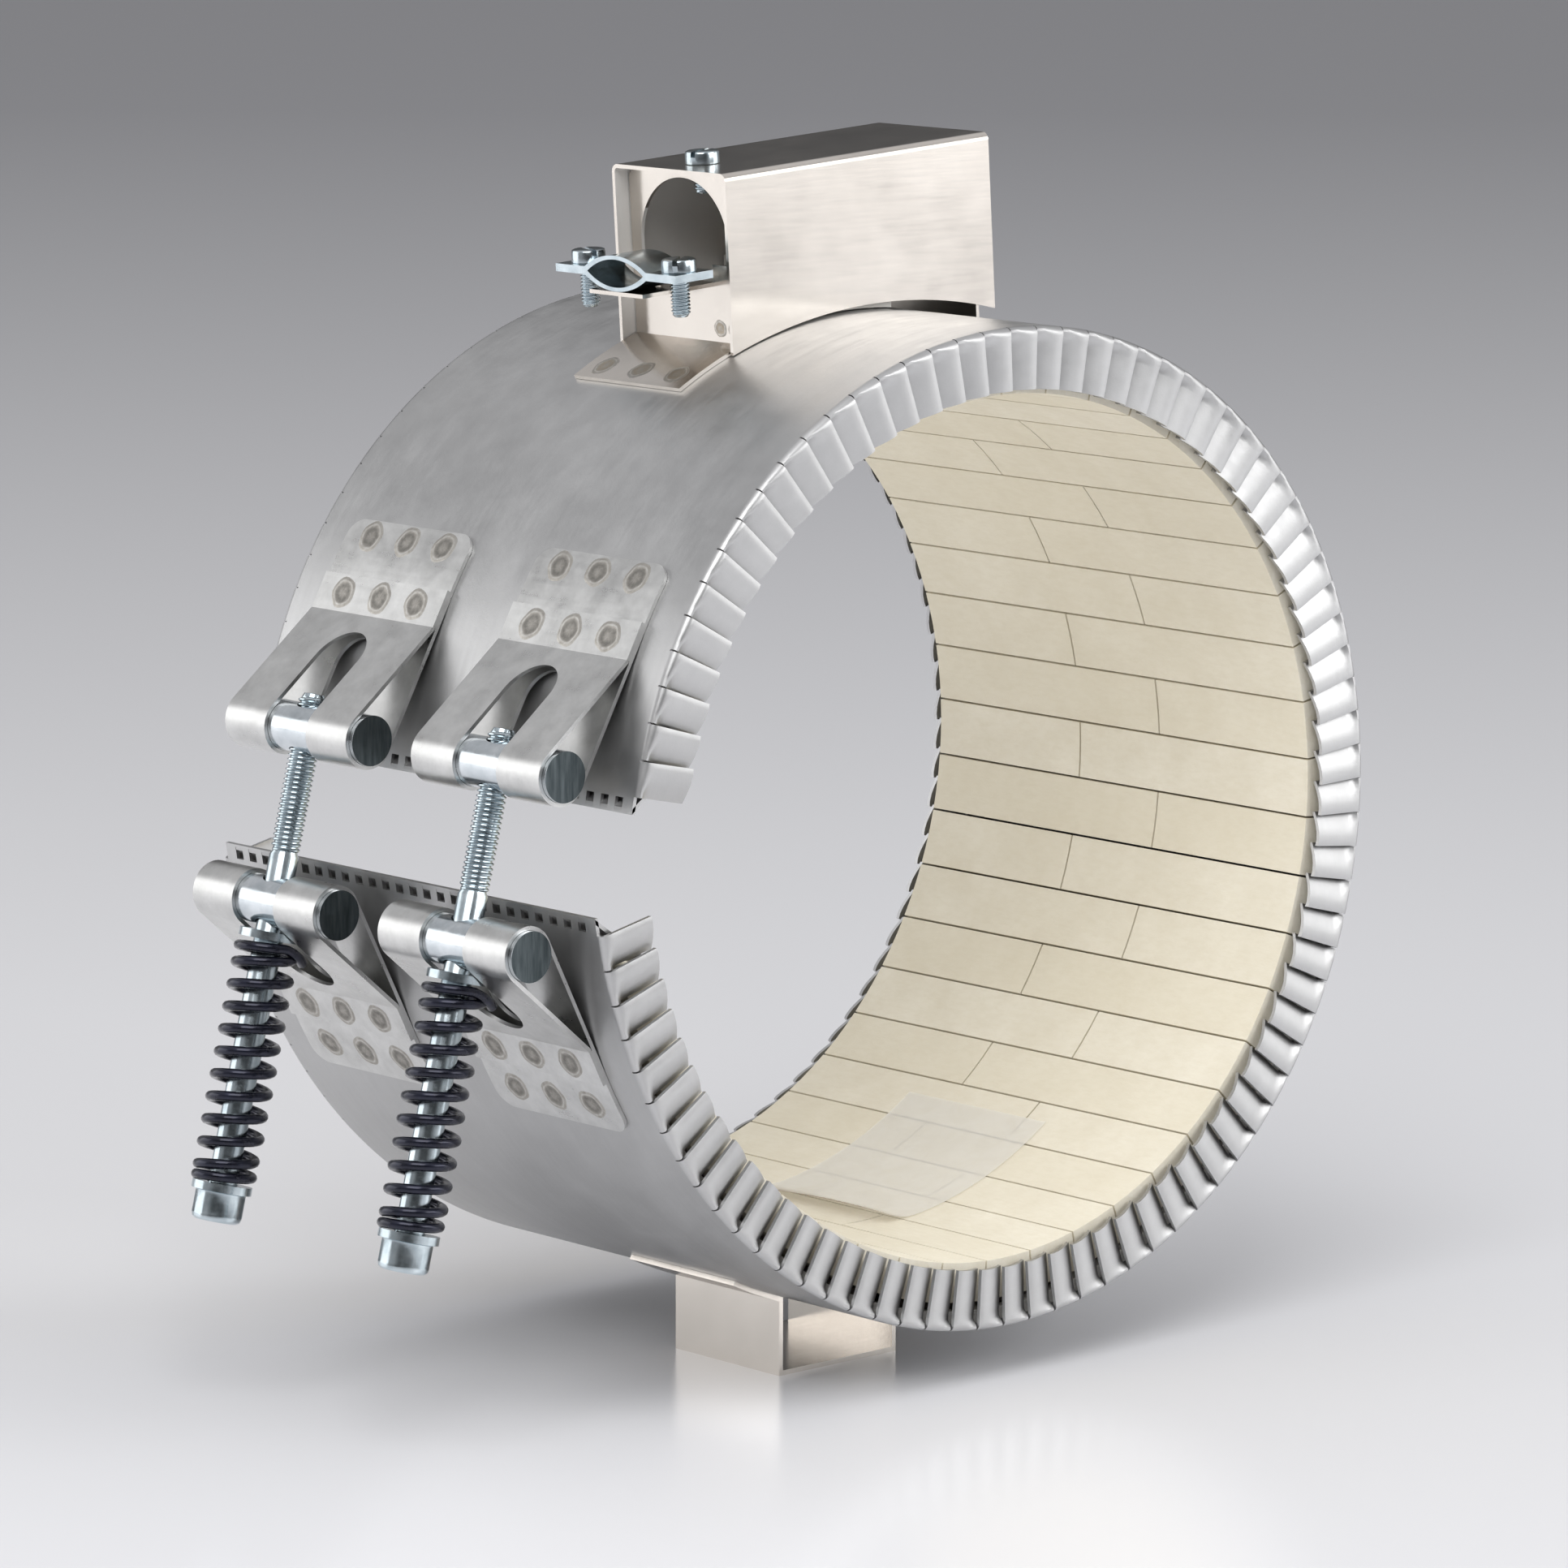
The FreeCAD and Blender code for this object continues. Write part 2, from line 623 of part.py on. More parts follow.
def shell_foot(x_from, x_to, y_half, t):
    """Sheet that follows the shell between two x places in the box frame."""
    r0 = shell_r + strap_fit
    a0 = math.degrees(math.acos(x_from / (r0 + t)))
    a1 = math.degrees(math.acos(x_to / (r0 + t)))
    edges = [arc_through((0, 0), r, a0, a1) for r in (r0, r0 + t)]
    edges += [Part.makeLine(polar((0, 0), r0, a), polar((0, 0), r0 + t, a)) for a in (a0, a1)]
    return extrude_outline(edges, box_mid_y - y_half, box_mid_y + y_half)


def end_wall(x, inward, width_half):
    """Upright end wall with a foot folded outwards and a flange folded inwards at the top."""
    t = box_sheet
    relief = box_bend_r
    x0, x1 = sorted((x, x + inward * t))
    foot_end = x - inward * wall_foot
    foot_z = shell_r - box_side_h
    outline = [(-width_half, foot_z), (-width_half, inner_top_z - relief), (relief - width_half, inner_top_z),
               (width_half - relief, inner_top_z), (width_half, inner_top_z - relief), (width_half, foot_z)]
    points = [Vector(x0, box_mid_y + dy, z) for dy, z in outline]
    upright = Part.Face(Part.makePolygon(points + points[:1])).extrude(Vector(x1 - x0, 0, 0))
    upright = upright.cut(cylinder(shell_r + strap_fit, band_w, Vector(0, -band_w / 2, 0), Vector(0, 1, 0)))
    f0, f1 = sorted((x, x + inward * top_flange))
    flange = box_plate(f0, f1, width_half - relief, inner_top_z - t, inner_top_z)
    foot = shell_foot(x + inward * t, foot_end, width_half, t)
    return upright.multiFuse([flange, foot])


def make_entry_wall():
    """End wall with an arched cable opening, whose tongue is bent out to carry the cable clamp."""
    t = box_sheet
    half = box_w / 2 - box_sheet - cover_fit
    entry = end_wall(wall_x, 1, half)
    through = 3 * t
    arch_c = Vector(wall_x - t, box_mid_y, inner_top_z - t - 0.5 - arch_r)
    arch = cylinder(arch_r, through, arch_c, Vector(1, 0, 0))
    arch = arch.common(box_plate(wall_x - t, wall_x - t + through, arch_r, arch_c.z, inner_top_z))
    below = box_plate(wall_x - t, wall_x - t + through, arch_r, arch_sill_z, arch_c.z)
    tongue_z = saddle_z - saddle_eye_h - box_sheet - strap_fit - t
    throat = box_plate(wall_x - t, wall_x - t + through, tongue_w / 2, tongue_z + t, arch_c.z)
    entry = entry.cut(arch.multiFuse([below, throat]))
    tongue = box_plate(box_x0 - saddle_out, wall_x + t, tongue_w / 2, tongue_z, tongue_z + t)
    thread = cylinder(m4_r + thread_fit, 4 * t, Vector(box_x0 + cover_screw_back, box_mid_y, inner_top_z - 2 * t),
                      Vector(0, 0, 1))
    return entry.fuse(tongue).cut(thread)


def make_far_wall():
    half = box_w / 2 - box_sheet - cover_fit
    return end_wall(far_wall_x, -1, half)


def cheese_screw(base, length):
    """Cheese head screw pointing down, head seat at base."""
    return revolve(base, Vector(0, 0, 1), [(0, -length), (m4_r, -length), (m4_r, 0), (m4_head_r, 0),
                                           (m4_head_r, m4_head_h), (0, m4_head_h)])


def make_saddle(up, hole_r):
    """Half of the cable clamp: two ears and a pressed half round; up is +1 or -1."""
    x = box_x0 - saddle_out
    t = box_sheet
    half = saddle_len / 2
    eye = saddle_eye_w / 2

    def pt(dy, h):
        return Vector(x, box_mid_y + dy, saddle_z + up * h)

    inner = Part.Arc(pt(-eye, 0), pt(0, saddle_eye_h), pt(eye, 0)).toShape()
    outer = Part.Arc(pt(-eye - t, t), pt(0, saddle_eye_h + t), pt(eye + t, t)).toShape()
    edges = [inner, outer, Part.makeLine(pt(-half, 0), pt(-half, t)), Part.makeLine(pt(half, 0), pt(half, t))]
    for side in (-1, 1):
        edges.append(Part.makeLine(pt(side * half, 0), pt(side * eye, 0)))
        edges.append(Part.makeLine(pt(side * half, t), pt(side * (eye + t), t)))
    saddle = Part.Face(Part.Wire(Part.__sortEdges__(edges))).extrude(Vector(saddle_w, 0, 0))
    for side in (-1, 1):
        place = Vector(x + saddle_w / 2, box_mid_y + side * saddle_screw_gap / 2, saddle_z - 2 * t)
        saddle = saddle.cut(cylinder(hole_r, 4 * t, place, Vector(0, 0, 1)))
    return saddle


# ---------------------------------------------------------------- terminals inside the box
def terminal_spots():
    return [Vector(box_mid_x, box_mid_y + side * terminal_gap / 2, 0) for side in (-1, 1)]


def neck_box(clear, z0):
    """Upright box for the neck of the terminal block, in the box's own frame."""
    return Part.makeBox(neck_len + 2 * clear, neck_w + 2 * clear, block_top_z - z0,
                        Vector(box_mid_x - neck_len / 2 - clear, box_mid_y - neck_w / 2 - clear, z0))


def lead_window(clear):
    """Room for the neck through the shell, in the object's frame."""
    return turn_box(neck_box(clear, coil_out_r))


def make_block():
    """Ceramic two pole block: hollowed to the shell, with a neck and a barrier between the poles."""
    x0 = box_mid_x - block_len / 2
    block = Part.makeBox(block_len, block_w, block_top_z - blanket_out_r,
                         Vector(x0, box_mid_y - block_w / 2, blanket_out_r))
    block = block.cut(cylinder(shell_r + cover_fit, band_w, Vector(0, -band_w / 2, 0), Vector(0, 1, 0)))
    barrier = Part.makeBox(block_len, barrier_t, barrier_h, Vector(x0, box_mid_y - barrier_t / 2, block_top_z))
    block = block.multiFuse([barrier, neck_box(0.0, blanket_out_r + coil_clear)])
    bores = [cylinder(terminal_r + strap_fit, block_top_z, spot + Vector(0, 0, block_top_z - terminal_depth),
                      Vector(0, 0, 1)) for spot in terminal_spots()]
    return block.cut(Part.makeCompound(bores)).removeSplitter()


def make_terminal_screws():
    """Hexagon head screw in each pole of the block."""
    up = Vector(0, 0, 1)
    screws = []
    for spot in terminal_spots():
        seat = spot + Vector(0, 0, block_top_z + strap_fit)
        shank = cylinder(terminal_r, terminal_depth - strap_fit, seat - up * (terminal_depth - strap_fit), up)
        screws.append(hex_prism(seat, up, terminal_af, terminal_head_h).fuse(shank))
    return screws


# ---------------------------------------------------------------- build every node
def main():
    save("shell_band", make_shell())
    save("insulation_blanket", band_solid(blanket_in_r, blanket_out_r, tile_y,
                                          cap_reach(blanket_in_r) + coil_clear))
    long_ones, short_ones, half_ones = make_tiles()
    save("tiles_long", long_ones)
    save("tiles_short", short_ones)
    save("tiles_half", half_ones)
    save("heating_coil", make_coil())
    save("retaining_tape", make_tape())
    make_clamps()
    save("foot_bracket", make_foot())
    save_box("box_cover", make_cover())
    save_box("box_entry_wall", make_entry_wall())
    save_box("box_far_wall", make_far_wall())
    screw_at = Vector(box_x0 + cover_screw_back, box_mid_y, box_top_z)
    save_box("cover_screw", cheese_screw(screw_at, cover_screw_len))
    save_box("cable_saddle_upper", make_saddle(1, m4_pass_r))
    save_box("cable_saddle_lower", make_saddle(-1, m4_r + thread_fit))
    for name, side in (("front", -1), ("rear", 1)):
        at = Vector(box_x0 - saddle_out + saddle_w / 2, box_mid_y + side * saddle_screw_gap / 2, saddle_z + box_sheet)
        save_box("saddle_screw_" + name, cheese_screw(at, saddle_screw_len))
    save_box("terminal_block", make_block())
    save_box("terminal_screws", make_terminal_screws())


main()
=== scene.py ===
"""Looks of the ceramic band heater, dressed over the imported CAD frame.

Metres and the object's own axes; a length given in mm is multiplied by MM.
"""
import json
import math
import random
import bmesh
import bpy
from mathutils import Matrix, Vector
from mathutils.bvhtree import BVHTree

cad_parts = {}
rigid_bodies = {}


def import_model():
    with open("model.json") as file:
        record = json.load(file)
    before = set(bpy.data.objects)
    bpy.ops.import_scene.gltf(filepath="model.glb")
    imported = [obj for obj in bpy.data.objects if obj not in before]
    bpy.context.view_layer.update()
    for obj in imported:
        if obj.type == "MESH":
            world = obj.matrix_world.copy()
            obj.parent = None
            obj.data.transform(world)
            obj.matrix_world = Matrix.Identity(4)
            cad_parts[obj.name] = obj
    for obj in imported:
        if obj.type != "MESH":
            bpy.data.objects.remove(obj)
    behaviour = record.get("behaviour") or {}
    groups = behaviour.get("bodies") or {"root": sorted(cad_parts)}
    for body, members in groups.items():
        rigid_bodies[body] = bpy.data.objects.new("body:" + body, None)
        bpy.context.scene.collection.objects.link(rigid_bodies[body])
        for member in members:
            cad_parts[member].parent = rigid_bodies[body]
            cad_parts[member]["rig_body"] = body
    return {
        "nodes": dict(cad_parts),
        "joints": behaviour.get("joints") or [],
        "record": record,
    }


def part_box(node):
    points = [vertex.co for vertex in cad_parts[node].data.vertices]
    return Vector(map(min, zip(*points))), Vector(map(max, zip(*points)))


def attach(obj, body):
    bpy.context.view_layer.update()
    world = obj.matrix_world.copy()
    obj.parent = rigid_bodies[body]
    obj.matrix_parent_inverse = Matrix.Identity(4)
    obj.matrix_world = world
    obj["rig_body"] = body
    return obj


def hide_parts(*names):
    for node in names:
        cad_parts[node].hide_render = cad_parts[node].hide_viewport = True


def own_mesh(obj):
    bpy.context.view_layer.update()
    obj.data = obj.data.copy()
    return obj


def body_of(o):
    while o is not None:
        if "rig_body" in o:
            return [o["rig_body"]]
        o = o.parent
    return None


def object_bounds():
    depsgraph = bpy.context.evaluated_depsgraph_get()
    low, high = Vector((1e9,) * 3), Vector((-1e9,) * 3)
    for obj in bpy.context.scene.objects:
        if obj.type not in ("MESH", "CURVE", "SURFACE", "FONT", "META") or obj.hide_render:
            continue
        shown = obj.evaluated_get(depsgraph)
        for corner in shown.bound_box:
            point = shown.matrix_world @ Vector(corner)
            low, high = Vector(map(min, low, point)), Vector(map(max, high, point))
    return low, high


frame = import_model()
cad_bounds = [list(p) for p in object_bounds()]
nodes = frame["nodes"]
joints = {j["name"]: j for j in frame["joints"]}
MM = 0.001
SHELL_R = 101.0     # outside of the shell, in mm like the other lengths that MM multiplies


def add_object(name, data):
    """A new object in the scene, at the origin."""
    obj = bpy.data.objects.new(name, data)
    bpy.context.scene.collection.objects.link(obj)
    return obj


def new_mesh(name, verts, faces):
    me = bpy.data.meshes.new(name)
    me.from_pydata([tuple(v) for v in verts], [], faces)
    return me


# ---------------------------------------------------------------- camera
CAMERA_TURN, CAMERA_HEIGHT, CAMERA_ROLL = -42.3455, 9.4619, 0.1687      # degrees
CAMERA_BACK, CAMERA_RIGHT, CAMERA_UP = 14.9902, -0.0672, 0.0242         # in radii of the shell
CAMERA_LENS, CAMERA_SENSOR = 169.52, 36.0                               # mm


def make_camera():
    """Long lens a little above the left front, as in a product picture."""
    az, el, roll = (math.radians(a) for a in (CAMERA_TURN, CAMERA_HEIGHT, CAMERA_ROLL))
    back = Vector((math.sin(az) * math.cos(el), -math.cos(az) * math.cos(el), math.sin(el)))
    right = Vector((math.cos(az), math.sin(az), 0))
    up = back.cross(right)
    r2 = right * math.cos(roll) + up * math.sin(roll)
    u2 = up * math.cos(roll) - right * math.sin(roll)
    where = (back * CAMERA_BACK + r2 * CAMERA_RIGHT + u2 * CAMERA_UP) * (SHELL_R * MM)
    data = bpy.data.cameras.new("camera")
    data.lens, data.sensor_width = CAMERA_LENS, CAMERA_SENSOR
    data.clip_start, data.clip_end = 0.05, 60.0
    cam = add_object("camera", data)
    m = Matrix((r2, u2, back)).transposed().to_4x4()
    m.translation = where
    cam.matrix_world = m
    bpy.context.scene.camera = cam


make_camera()


# ---------------------------------------------------------------- node helpers
def lin(r, g, b):
    """A display colour as the linear values that a shader takes."""
    f = lambda c: c / 12.92 if c <= 0.04045 else ((c + 0.055) / 1.055) ** 2.4
    return (f(r), f(g), f(b), 1.0)


class Nodes:
    """Short calls for one material's node tree."""

    def __init__(self, name):
        self.mat = bpy.data.materials.new(name)
        self.mat.use_nodes = True
        self.tree = self.mat.node_tree
        self.shader = self.tree.nodes["Principled BSDF"]
        self.coords = self.tree.nodes.new("ShaderNodeTexCoord").outputs["Object"]

    def add(self, kind, **props):
        n = self.tree.nodes.new(kind)
        for k, v in props.items():
            setattr(n, k, v)
        return n

    def link(self, a, b):
        self.tree.links.new(a, b)

    def put(self, socket, value):
        if isinstance(value, bpy.types.NodeSocket):
            self.link(value, socket)
        else:
            socket.default_value = value

    def set(self, **values):
        for k, v in values.items():
            self.put(self.shader.inputs[k.replace("_", " ")], v)

    def scaled(self, vector, scale):
        n = self.add("ShaderNodeVectorMath", operation="MULTIPLY")
        self.put(n.inputs[0], vector)
        n.inputs[1].default_value = scale
        return n.outputs[0]

    def xyz(self, vector):
        """The X, Y and Z outputs of a vector, by name."""
        n = self.add("ShaderNodeSeparateXYZ")
        self.link(vector, n.inputs[0])
        return n.outputs

    def true_normal(self):
        return self.xyz(self.add("ShaderNodeNewGeometry").outputs["True Normal"])

    def noise(self, scale, detail, rough, vector=None, distortion=0.0):
        n = self.add("ShaderNodeTexNoise")
        self.put(n.inputs["Vector"], self.coords if vector is None else vector)
        n.inputs["Scale"].default_value = scale
        n.inputs["Detail"].default_value = detail
        n.inputs["Roughness"].default_value = rough
        n.inputs["Distortion"].default_value = distortion
        return n.outputs["Fac"]

    def cells(self, scale):
        n = self.add("ShaderNodeTexVoronoi", feature="F1")
        self.link(self.coords, n.inputs["Vector"])
        n.inputs["Scale"].default_value = scale
        return n.outputs["Distance"]

    def ramp(self, fac, *stops):
        """stops are (position, grey) or (position, (r, g, b, a)) pairs."""
        n = self.add("ShaderNodeValToRGB")
        self.put(n.inputs["Fac"], fac)
        e = n.color_ramp.elements
        while len(e) < len(stops):
            e.new(0.5)
        for el, (pos, c) in zip(e, stops):
            el.position = pos
            el.color = c if hasattr(c, "__len__") else (c, c, c, 1)
        return n.outputs["Color"]

    def total(self, a, part_a, b, part_b):
        """a and b, each times its part, added up."""
        return self.math("ADD", self.math("MULTIPLY", a, part_a), self.math("MULTIPLY", b, part_b))

    def math(self, op, a, b=0.0):
        n = self.add("ShaderNodeMath", operation=op)
        self.put(n.inputs[0], a)
        self.put(n.inputs[1], b)
        return n.outputs[0]

    def mix(self, fac, a, b):
        n = self.add("ShaderNodeMix", data_type="RGBA")
        self.put(n.inputs["Factor"], fac)
        self.put(n.inputs[6], a)
        self.put(n.inputs[7], b)
        return n.outputs[2]

    def bump(self, height, strength, distance, normal=None):
        n = self.add("ShaderNodeBump")
        n.inputs["Strength"].default_value = strength
        n.inputs["Distance"].default_value = distance
        self.put(n.inputs["Height"], height)
        if normal is not None:
            self.put(n.inputs["Normal"], normal)
        return n.outputs[0]

    def around(self):
        """Coordinates unrolled round the Y axis: along the shell, along Y, and the radius."""
        s = self.xyz(self.coords)
        c = self.add("ShaderNodeCombineXYZ")
        angle = self.math("ARCTAN2", s["Z"], s["X"])
        self.link(self.math("MULTIPLY", angle, SHELL_R * MM), c.inputs["X"])
        self.link(s["Y"], c.inputs["Y"])
        squares = [self.math("MULTIPLY", s[k], s[k]) for k in ("X", "Z")]
        self.link(self.math("SQRT", self.math("ADD", *squares)), c.inputs["Z"])
        return c.outputs[0]

    def attribute(self, name):
        return self.add("ShaderNodeAttribute", attribute_name=name).outputs["Fac"]


# ---------------------------------------------------------------- materials
def band_steel():
    """Cold rolled sheet, satin grey, finely mottled, with faint rolling streaks round the band."""
    n = Nodes("band_steel")
    flat = n.around()
    streak = n.noise(900, 2, 0.5, n.scaled(flat, (0.045, 1.0, 1.0)))
    mottle = n.noise(95, 5, 0.62)
    cloud = n.noise(16, 3, 0.5)
    colour = n.ramp(n.total(mottle, 0.5, cloud, 0.5),
                    (0.30, lin(0.69, 0.69, 0.69)), (0.72, lin(0.775, 0.775, 0.775)))
    rough = n.ramp(n.total(streak, 0.35, mottle, 0.65), (0.3, 0.34), (0.7, 0.50))
    fine = n.math("ADD", n.math("MULTIPLY", streak, 0.6), n.noise(2600, 3, 0.6))
    n.set(Base_Color=colour, Metallic=1.0, Roughness=rough,
          Normal=n.bump(fine, 0.16, 0.0001, n.bump(mottle, 0.12, 0.0005)))
    return n.mat


def strap_steel():
    """Bright strip of the clamp straps, a little scuffed."""
    n = Nodes("strap_steel")
    grain = n.noise(700, 2, 0.5, n.scaled(n.coords, (1.0, 0.12, 1.0)))
    mottle = n.noise(140, 5, 0.65)
    colour = n.ramp(mottle, (0.30, lin(0.74, 0.74, 0.735)), (0.7, lin(0.84, 0.84, 0.835)))
    rough = n.ramp(n.total(grain, 0.4, mottle, 0.6), (0.3, 0.24), (0.7, 0.40))
    n.set(Base_Color=colour, Metallic=1.0, Roughness=rough, Normal=n.bump(grain, 0.14, 0.0001))
    return n.mat


COVER_MID_Y, BOX_FLOOR_Z = 0.0022, 0.095        # midplane of the cover, and below all of the box
FACES_IN = -0.01                                # metres: how far off the midplane, facing it


def box_steel():
    """Bright annealed stainless sheet, faintly wavy; the inner faces of the cover are made dull and
    carry painted light, a pale colour for the light that falls in through the arch of the entry
    wall.
    """
    n = Nodes("box_steel")
    grain = n.noise(1500, 2, 0.5, n.scaled(n.coords, (0.05, 1.0, 0.6)))
    cloud = n.noise(45, 4, 0.6)
    colour = n.ramp(cloud, (0.3, lin(0.81, 0.785, 0.755)), (0.72, lin(0.865, 0.84, 0.81)))
    rough = n.ramp(n.total(grain, 0.5, cloud, 0.5), (0.3, 0.13), (0.72, 0.24))
    place = n.xyz(n.coords)
    facing = n.math("MULTIPLY", n.true_normal()["Y"], n.math("SUBTRACT", place["Y"], COVER_MID_Y))
    inner_faces_painted_pale = n.math("MULTIPLY", n.math("LESS_THAN", facing, FACES_IN),
                    n.math("GREATER_THAN", place["Z"], BOX_FLOOR_Z))
    # painted light: the cover's inner faces get a pale colour for the light that falls in through
    # the arch of the entry wall, and are also made duller
    n.set(Base_Color=n.mix(inner_faces_painted_pale, colour, lin(0.95, 0.94, 0.925)),
          Metallic=n.math("SUBTRACT", 1.0, n.math("MULTIPLY", inner_faces_painted_pale, 0.8)),
          Roughness=n.math("ADD", rough, n.math("MULTIPLY", inner_faces_painted_pale, 0.4)),
          Normal=n.bump(grain, 0.06, 0.0001, n.bump(n.noise(28, 2, 0.5), 0.10, 0.001)))
    return n.mat


def zinc_steel():
    """Bright zinc plate, slightly blue."""
    n = Nodes("zinc_steel")
    cloud = n.noise(220, 4, 0.6)
    colour = n.ramp(cloud, (0.3, lin(0.66, 0.71, 0.735)), (0.7, lin(0.80, 0.84, 0.86)))
    rough = n.ramp(n.noise(480, 3, 0.6), (0.3, 0.14), (0.7, 0.26))
    n.set(Base_Color=colour, Metallic=1.0, Roughness=rough,
          Normal=n.bump(n.noise(1600, 3, 0.6), 0.06, 0.0001))
    return n.mat


END_FACING = 0.93           # the pins lie along Y, so their ends face it


def pin_steel():
    """Zinc plated pins with sawn ends, which are bare and darkened."""
    n = Nodes("pin_steel")
    end = n.math("GREATER_THAN", n.math("ABSOLUTE", n.true_normal()["Y"]), END_FACING)
    plate = n.ramp(n.noise(220, 4, 0.6),
                   (0.3, lin(0.74, 0.77, 0.79)), (0.7, lin(0.85, 0.87, 0.885)))
    saw = n.noise(900, 3, 0.6, n.scaled(n.coords, (1.0, 1.0, 0.12)))
    sawn = n.ramp(saw, (0.3, lin(0.25, 0.28, 0.29)), (0.7, lin(0.38, 0.41, 0.42)))
    rough = n.ramp(n.noise(480, 3, 0.6), (0.3, 0.12), (0.7, 0.24))
    n.set(Base_Color=n.mix(end, plate, sawn), Metallic=1.0,
          Roughness=n.math("ADD", rough, n.math("MULTIPLY", end, 0.22)),
          Normal=n.bump(saw, 0.10, 0.0001))
    return n.mat


def spring_steel():
    """Blue-black oil tempered wire."""
    n = Nodes("spring_steel")
    t = n.noise(260, 3, 0.6)
    n.set(Base_Color=n.ramp(t, (0.3, lin(0.06, 0.065, 0.12)), (0.7, lin(0.13, 0.14, 0.21))),
          Metallic=0.75, Roughness=n.ramp(t, (0.3, 0.22), (0.7, 0.36)),
          Coat_Weight=0.4, Coat_Roughness=0.12)
    return n.mat


def ceramic_tile():
    """Cordierite brick: matt cream with a fine grain, every brick a little different."""
    n = Nodes("ceramic_tile")
    island = n.add("ShaderNodeNewGeometry").outputs["Random Per Island"]
    grain = n.noise(900, 4, 0.7, n.scaled(n.coords, (1.0, 0.35, 1.0)))
    cloud = n.noise(70, 4, 0.6)
    pores = n.ramp(n.cells(1300), (0.06, 0.0), (0.16, 1.0))
    base = n.ramp(cloud, (0.3, lin(0.915, 0.89, 0.825)), (0.7, lin(0.955, 0.935, 0.88)))
    base = n.mix(n.math("MULTIPLY", island, 0.55), base, lin(0.90, 0.87, 0.79))
    dusty = n.math("MULTIPLY", n.ramp(grain, (0.35, 1.0), (0.6, 0.0)), 0.18)
    base = n.mix(dusty, base, lin(0.84, 0.80, 0.70))
    n.set(Base_Color=base, Roughness=0.82, Specular_IOR_Level=0.3,
          Normal=n.bump(n.math("ADD", grain, n.math("MULTIPLY", pores, 0.5)), 0.22, 0.00018))
    return n.mat


def terminal_ceramic():
    """Pressed ceramic of the terminal block, almost white."""
    n = Nodes("terminal_ceramic")
    t = n.noise(160, 4, 0.6)
    n.set(Base_Color=n.ramp(t, (0.3, lin(0.90, 0.885, 0.85)), (0.7, lin(0.95, 0.94, 0.915))),
          Roughness=0.55, Normal=n.bump(n.noise(1400, 3, 0.6), 0.15, 0.00015))
    return n.mat


def ceramic_fibre():
    """White felted blanket."""
    n = Nodes("ceramic_fibre")
    fuzz = n.noise(1500, 6, 0.75, distortion=2.0)
    n.set(Base_Color=n.ramp(fuzz, (0.3, lin(0.86, 0.85, 0.83)), (0.7, lin(0.96, 0.955, 0.945))),
          Roughness=0.95, Sheen_Weight=0.2, Normal=n.bump(fuzz, 0.7, 0.0005))
    return n.mat


def heating_alloy():
    """Resistance wire, oxidised grey."""
    n = Nodes("heating_alloy")
    t = n.noise(500, 4, 0.6)
    n.set(Base_Color=n.ramp(t, (0.3, lin(0.38, 0.36, 0.35)), (0.7, lin(0.52, 0.50, 0.48))),
          Metallic=0.9, Roughness=n.ramp(t, (0.3, 0.45), (0.7, 0.62)))
    return n.mat


def brass():
    """Satin brass of the terminal screws."""
    n = Nodes("brass")
    t = n.noise(400, 4, 0.6)
    n.set(Base_Color=n.ramp(t, (0.3, lin(0.80, 0.68, 0.42)), (0.7, lin(0.88, 0.77, 0.50))),
          Metallic=1.0, Roughness=n.ramp(t, (0.3, 0.22), (0.7, 0.36)))
    return n.mat


def tape():
    """Thin translucent tape, crinkled, with a brown painted shadow where its loose end lifts off
    the tiles.
    """
    n = Nodes("tape")
    crease = n.noise(130, 4, 0.6, distortion=1.5)
    base = n.ramp(crease, (0.3, lin(0.965, 0.955, 0.93)), (0.7, lin(0.985, 0.98, 0.965)))
    # brown painted shadow on the lifted end, standing in for the shade under it
    base = n.mix(n.attribute("tape_shadow"), base, lin(0.55, 0.44, 0.31))
    n.set(Base_Color=base, Roughness=n.ramp(crease, (0.3, 0.40), (0.7, 0.55)), Alpha=0.60,
          Normal=n.bump(crease, 0.10, 0.0003))
    return n.mat


def weld_mark(name, edge, middle):
    """Spot weld: heat-tinted ring and a pressed middle; the tone is in the mesh."""
    n = Nodes(name)
    mottle = n.noise(900, 4, 0.65)
    t = n.total(n.attribute("tone"), 0.8, mottle, 0.35)
    colour = n.ramp(t, (0.18, edge), (0.50, lin(0.67, 0.655, 0.63)), (0.95, middle))
    n.set(Base_Color=colour, Metallic=1.0, Roughness=n.ramp(mottle, (0.3, 0.36), (0.7, 0.56)),
          Normal=n.bump(mottle, 0.35, 0.0002))
    return n.mat


MATS = {f.__name__: f() for f in (
    band_steel, strap_steel, box_steel, zinc_steel, spring_steel, ceramic_tile,
    terminal_ceramic, ceramic_fibre, heating_alloy, brass, tape)}
WELD = weld_mark("weld_mark", lin(0.80, 0.795, 0.78), lin(0.50, 0.49, 0.47))
WELD_BOX = weld_mark("weld_mark_box", lin(0.85, 0.83, 0.80), lin(0.66, 0.62, 0.56))
PIN = pin_steel()

slot_of = {s["node"]: s["material_slot"] for s in frame["record"]["subparts"]}
for name, obj in nodes.items():
    obj.data.materials.clear()
    obj.data.materials.append(PIN if name.startswith("pins_") else MATS[slot_of[name]])


# ---------------------------------------------------------------- shell band with its folded rims
UPPER_A, LOWER_A = 171.7, 188.9     # degrees, where the band ends above and below the gap
LOOSE_A, LOOSE_EXTRA = 252.0, 14.0  # from here to the lower end the radius is larger by this
SHEET = 0.8
LOOSE_C = (-LOOSE_EXTRA * math.cos(math.radians(LOOSE_A)),
           -LOOSE_EXTRA * math.sin(math.radians(LOOSE_A)))
MAIN_LEN = math.radians(UPPER_A + 360 - LOOSE_A) * SHELL_R
BAND_LEN = MAIN_LEN + math.radians(LOOSE_A - LOWER_A) * (SHELL_R + LOOSE_EXTRA)


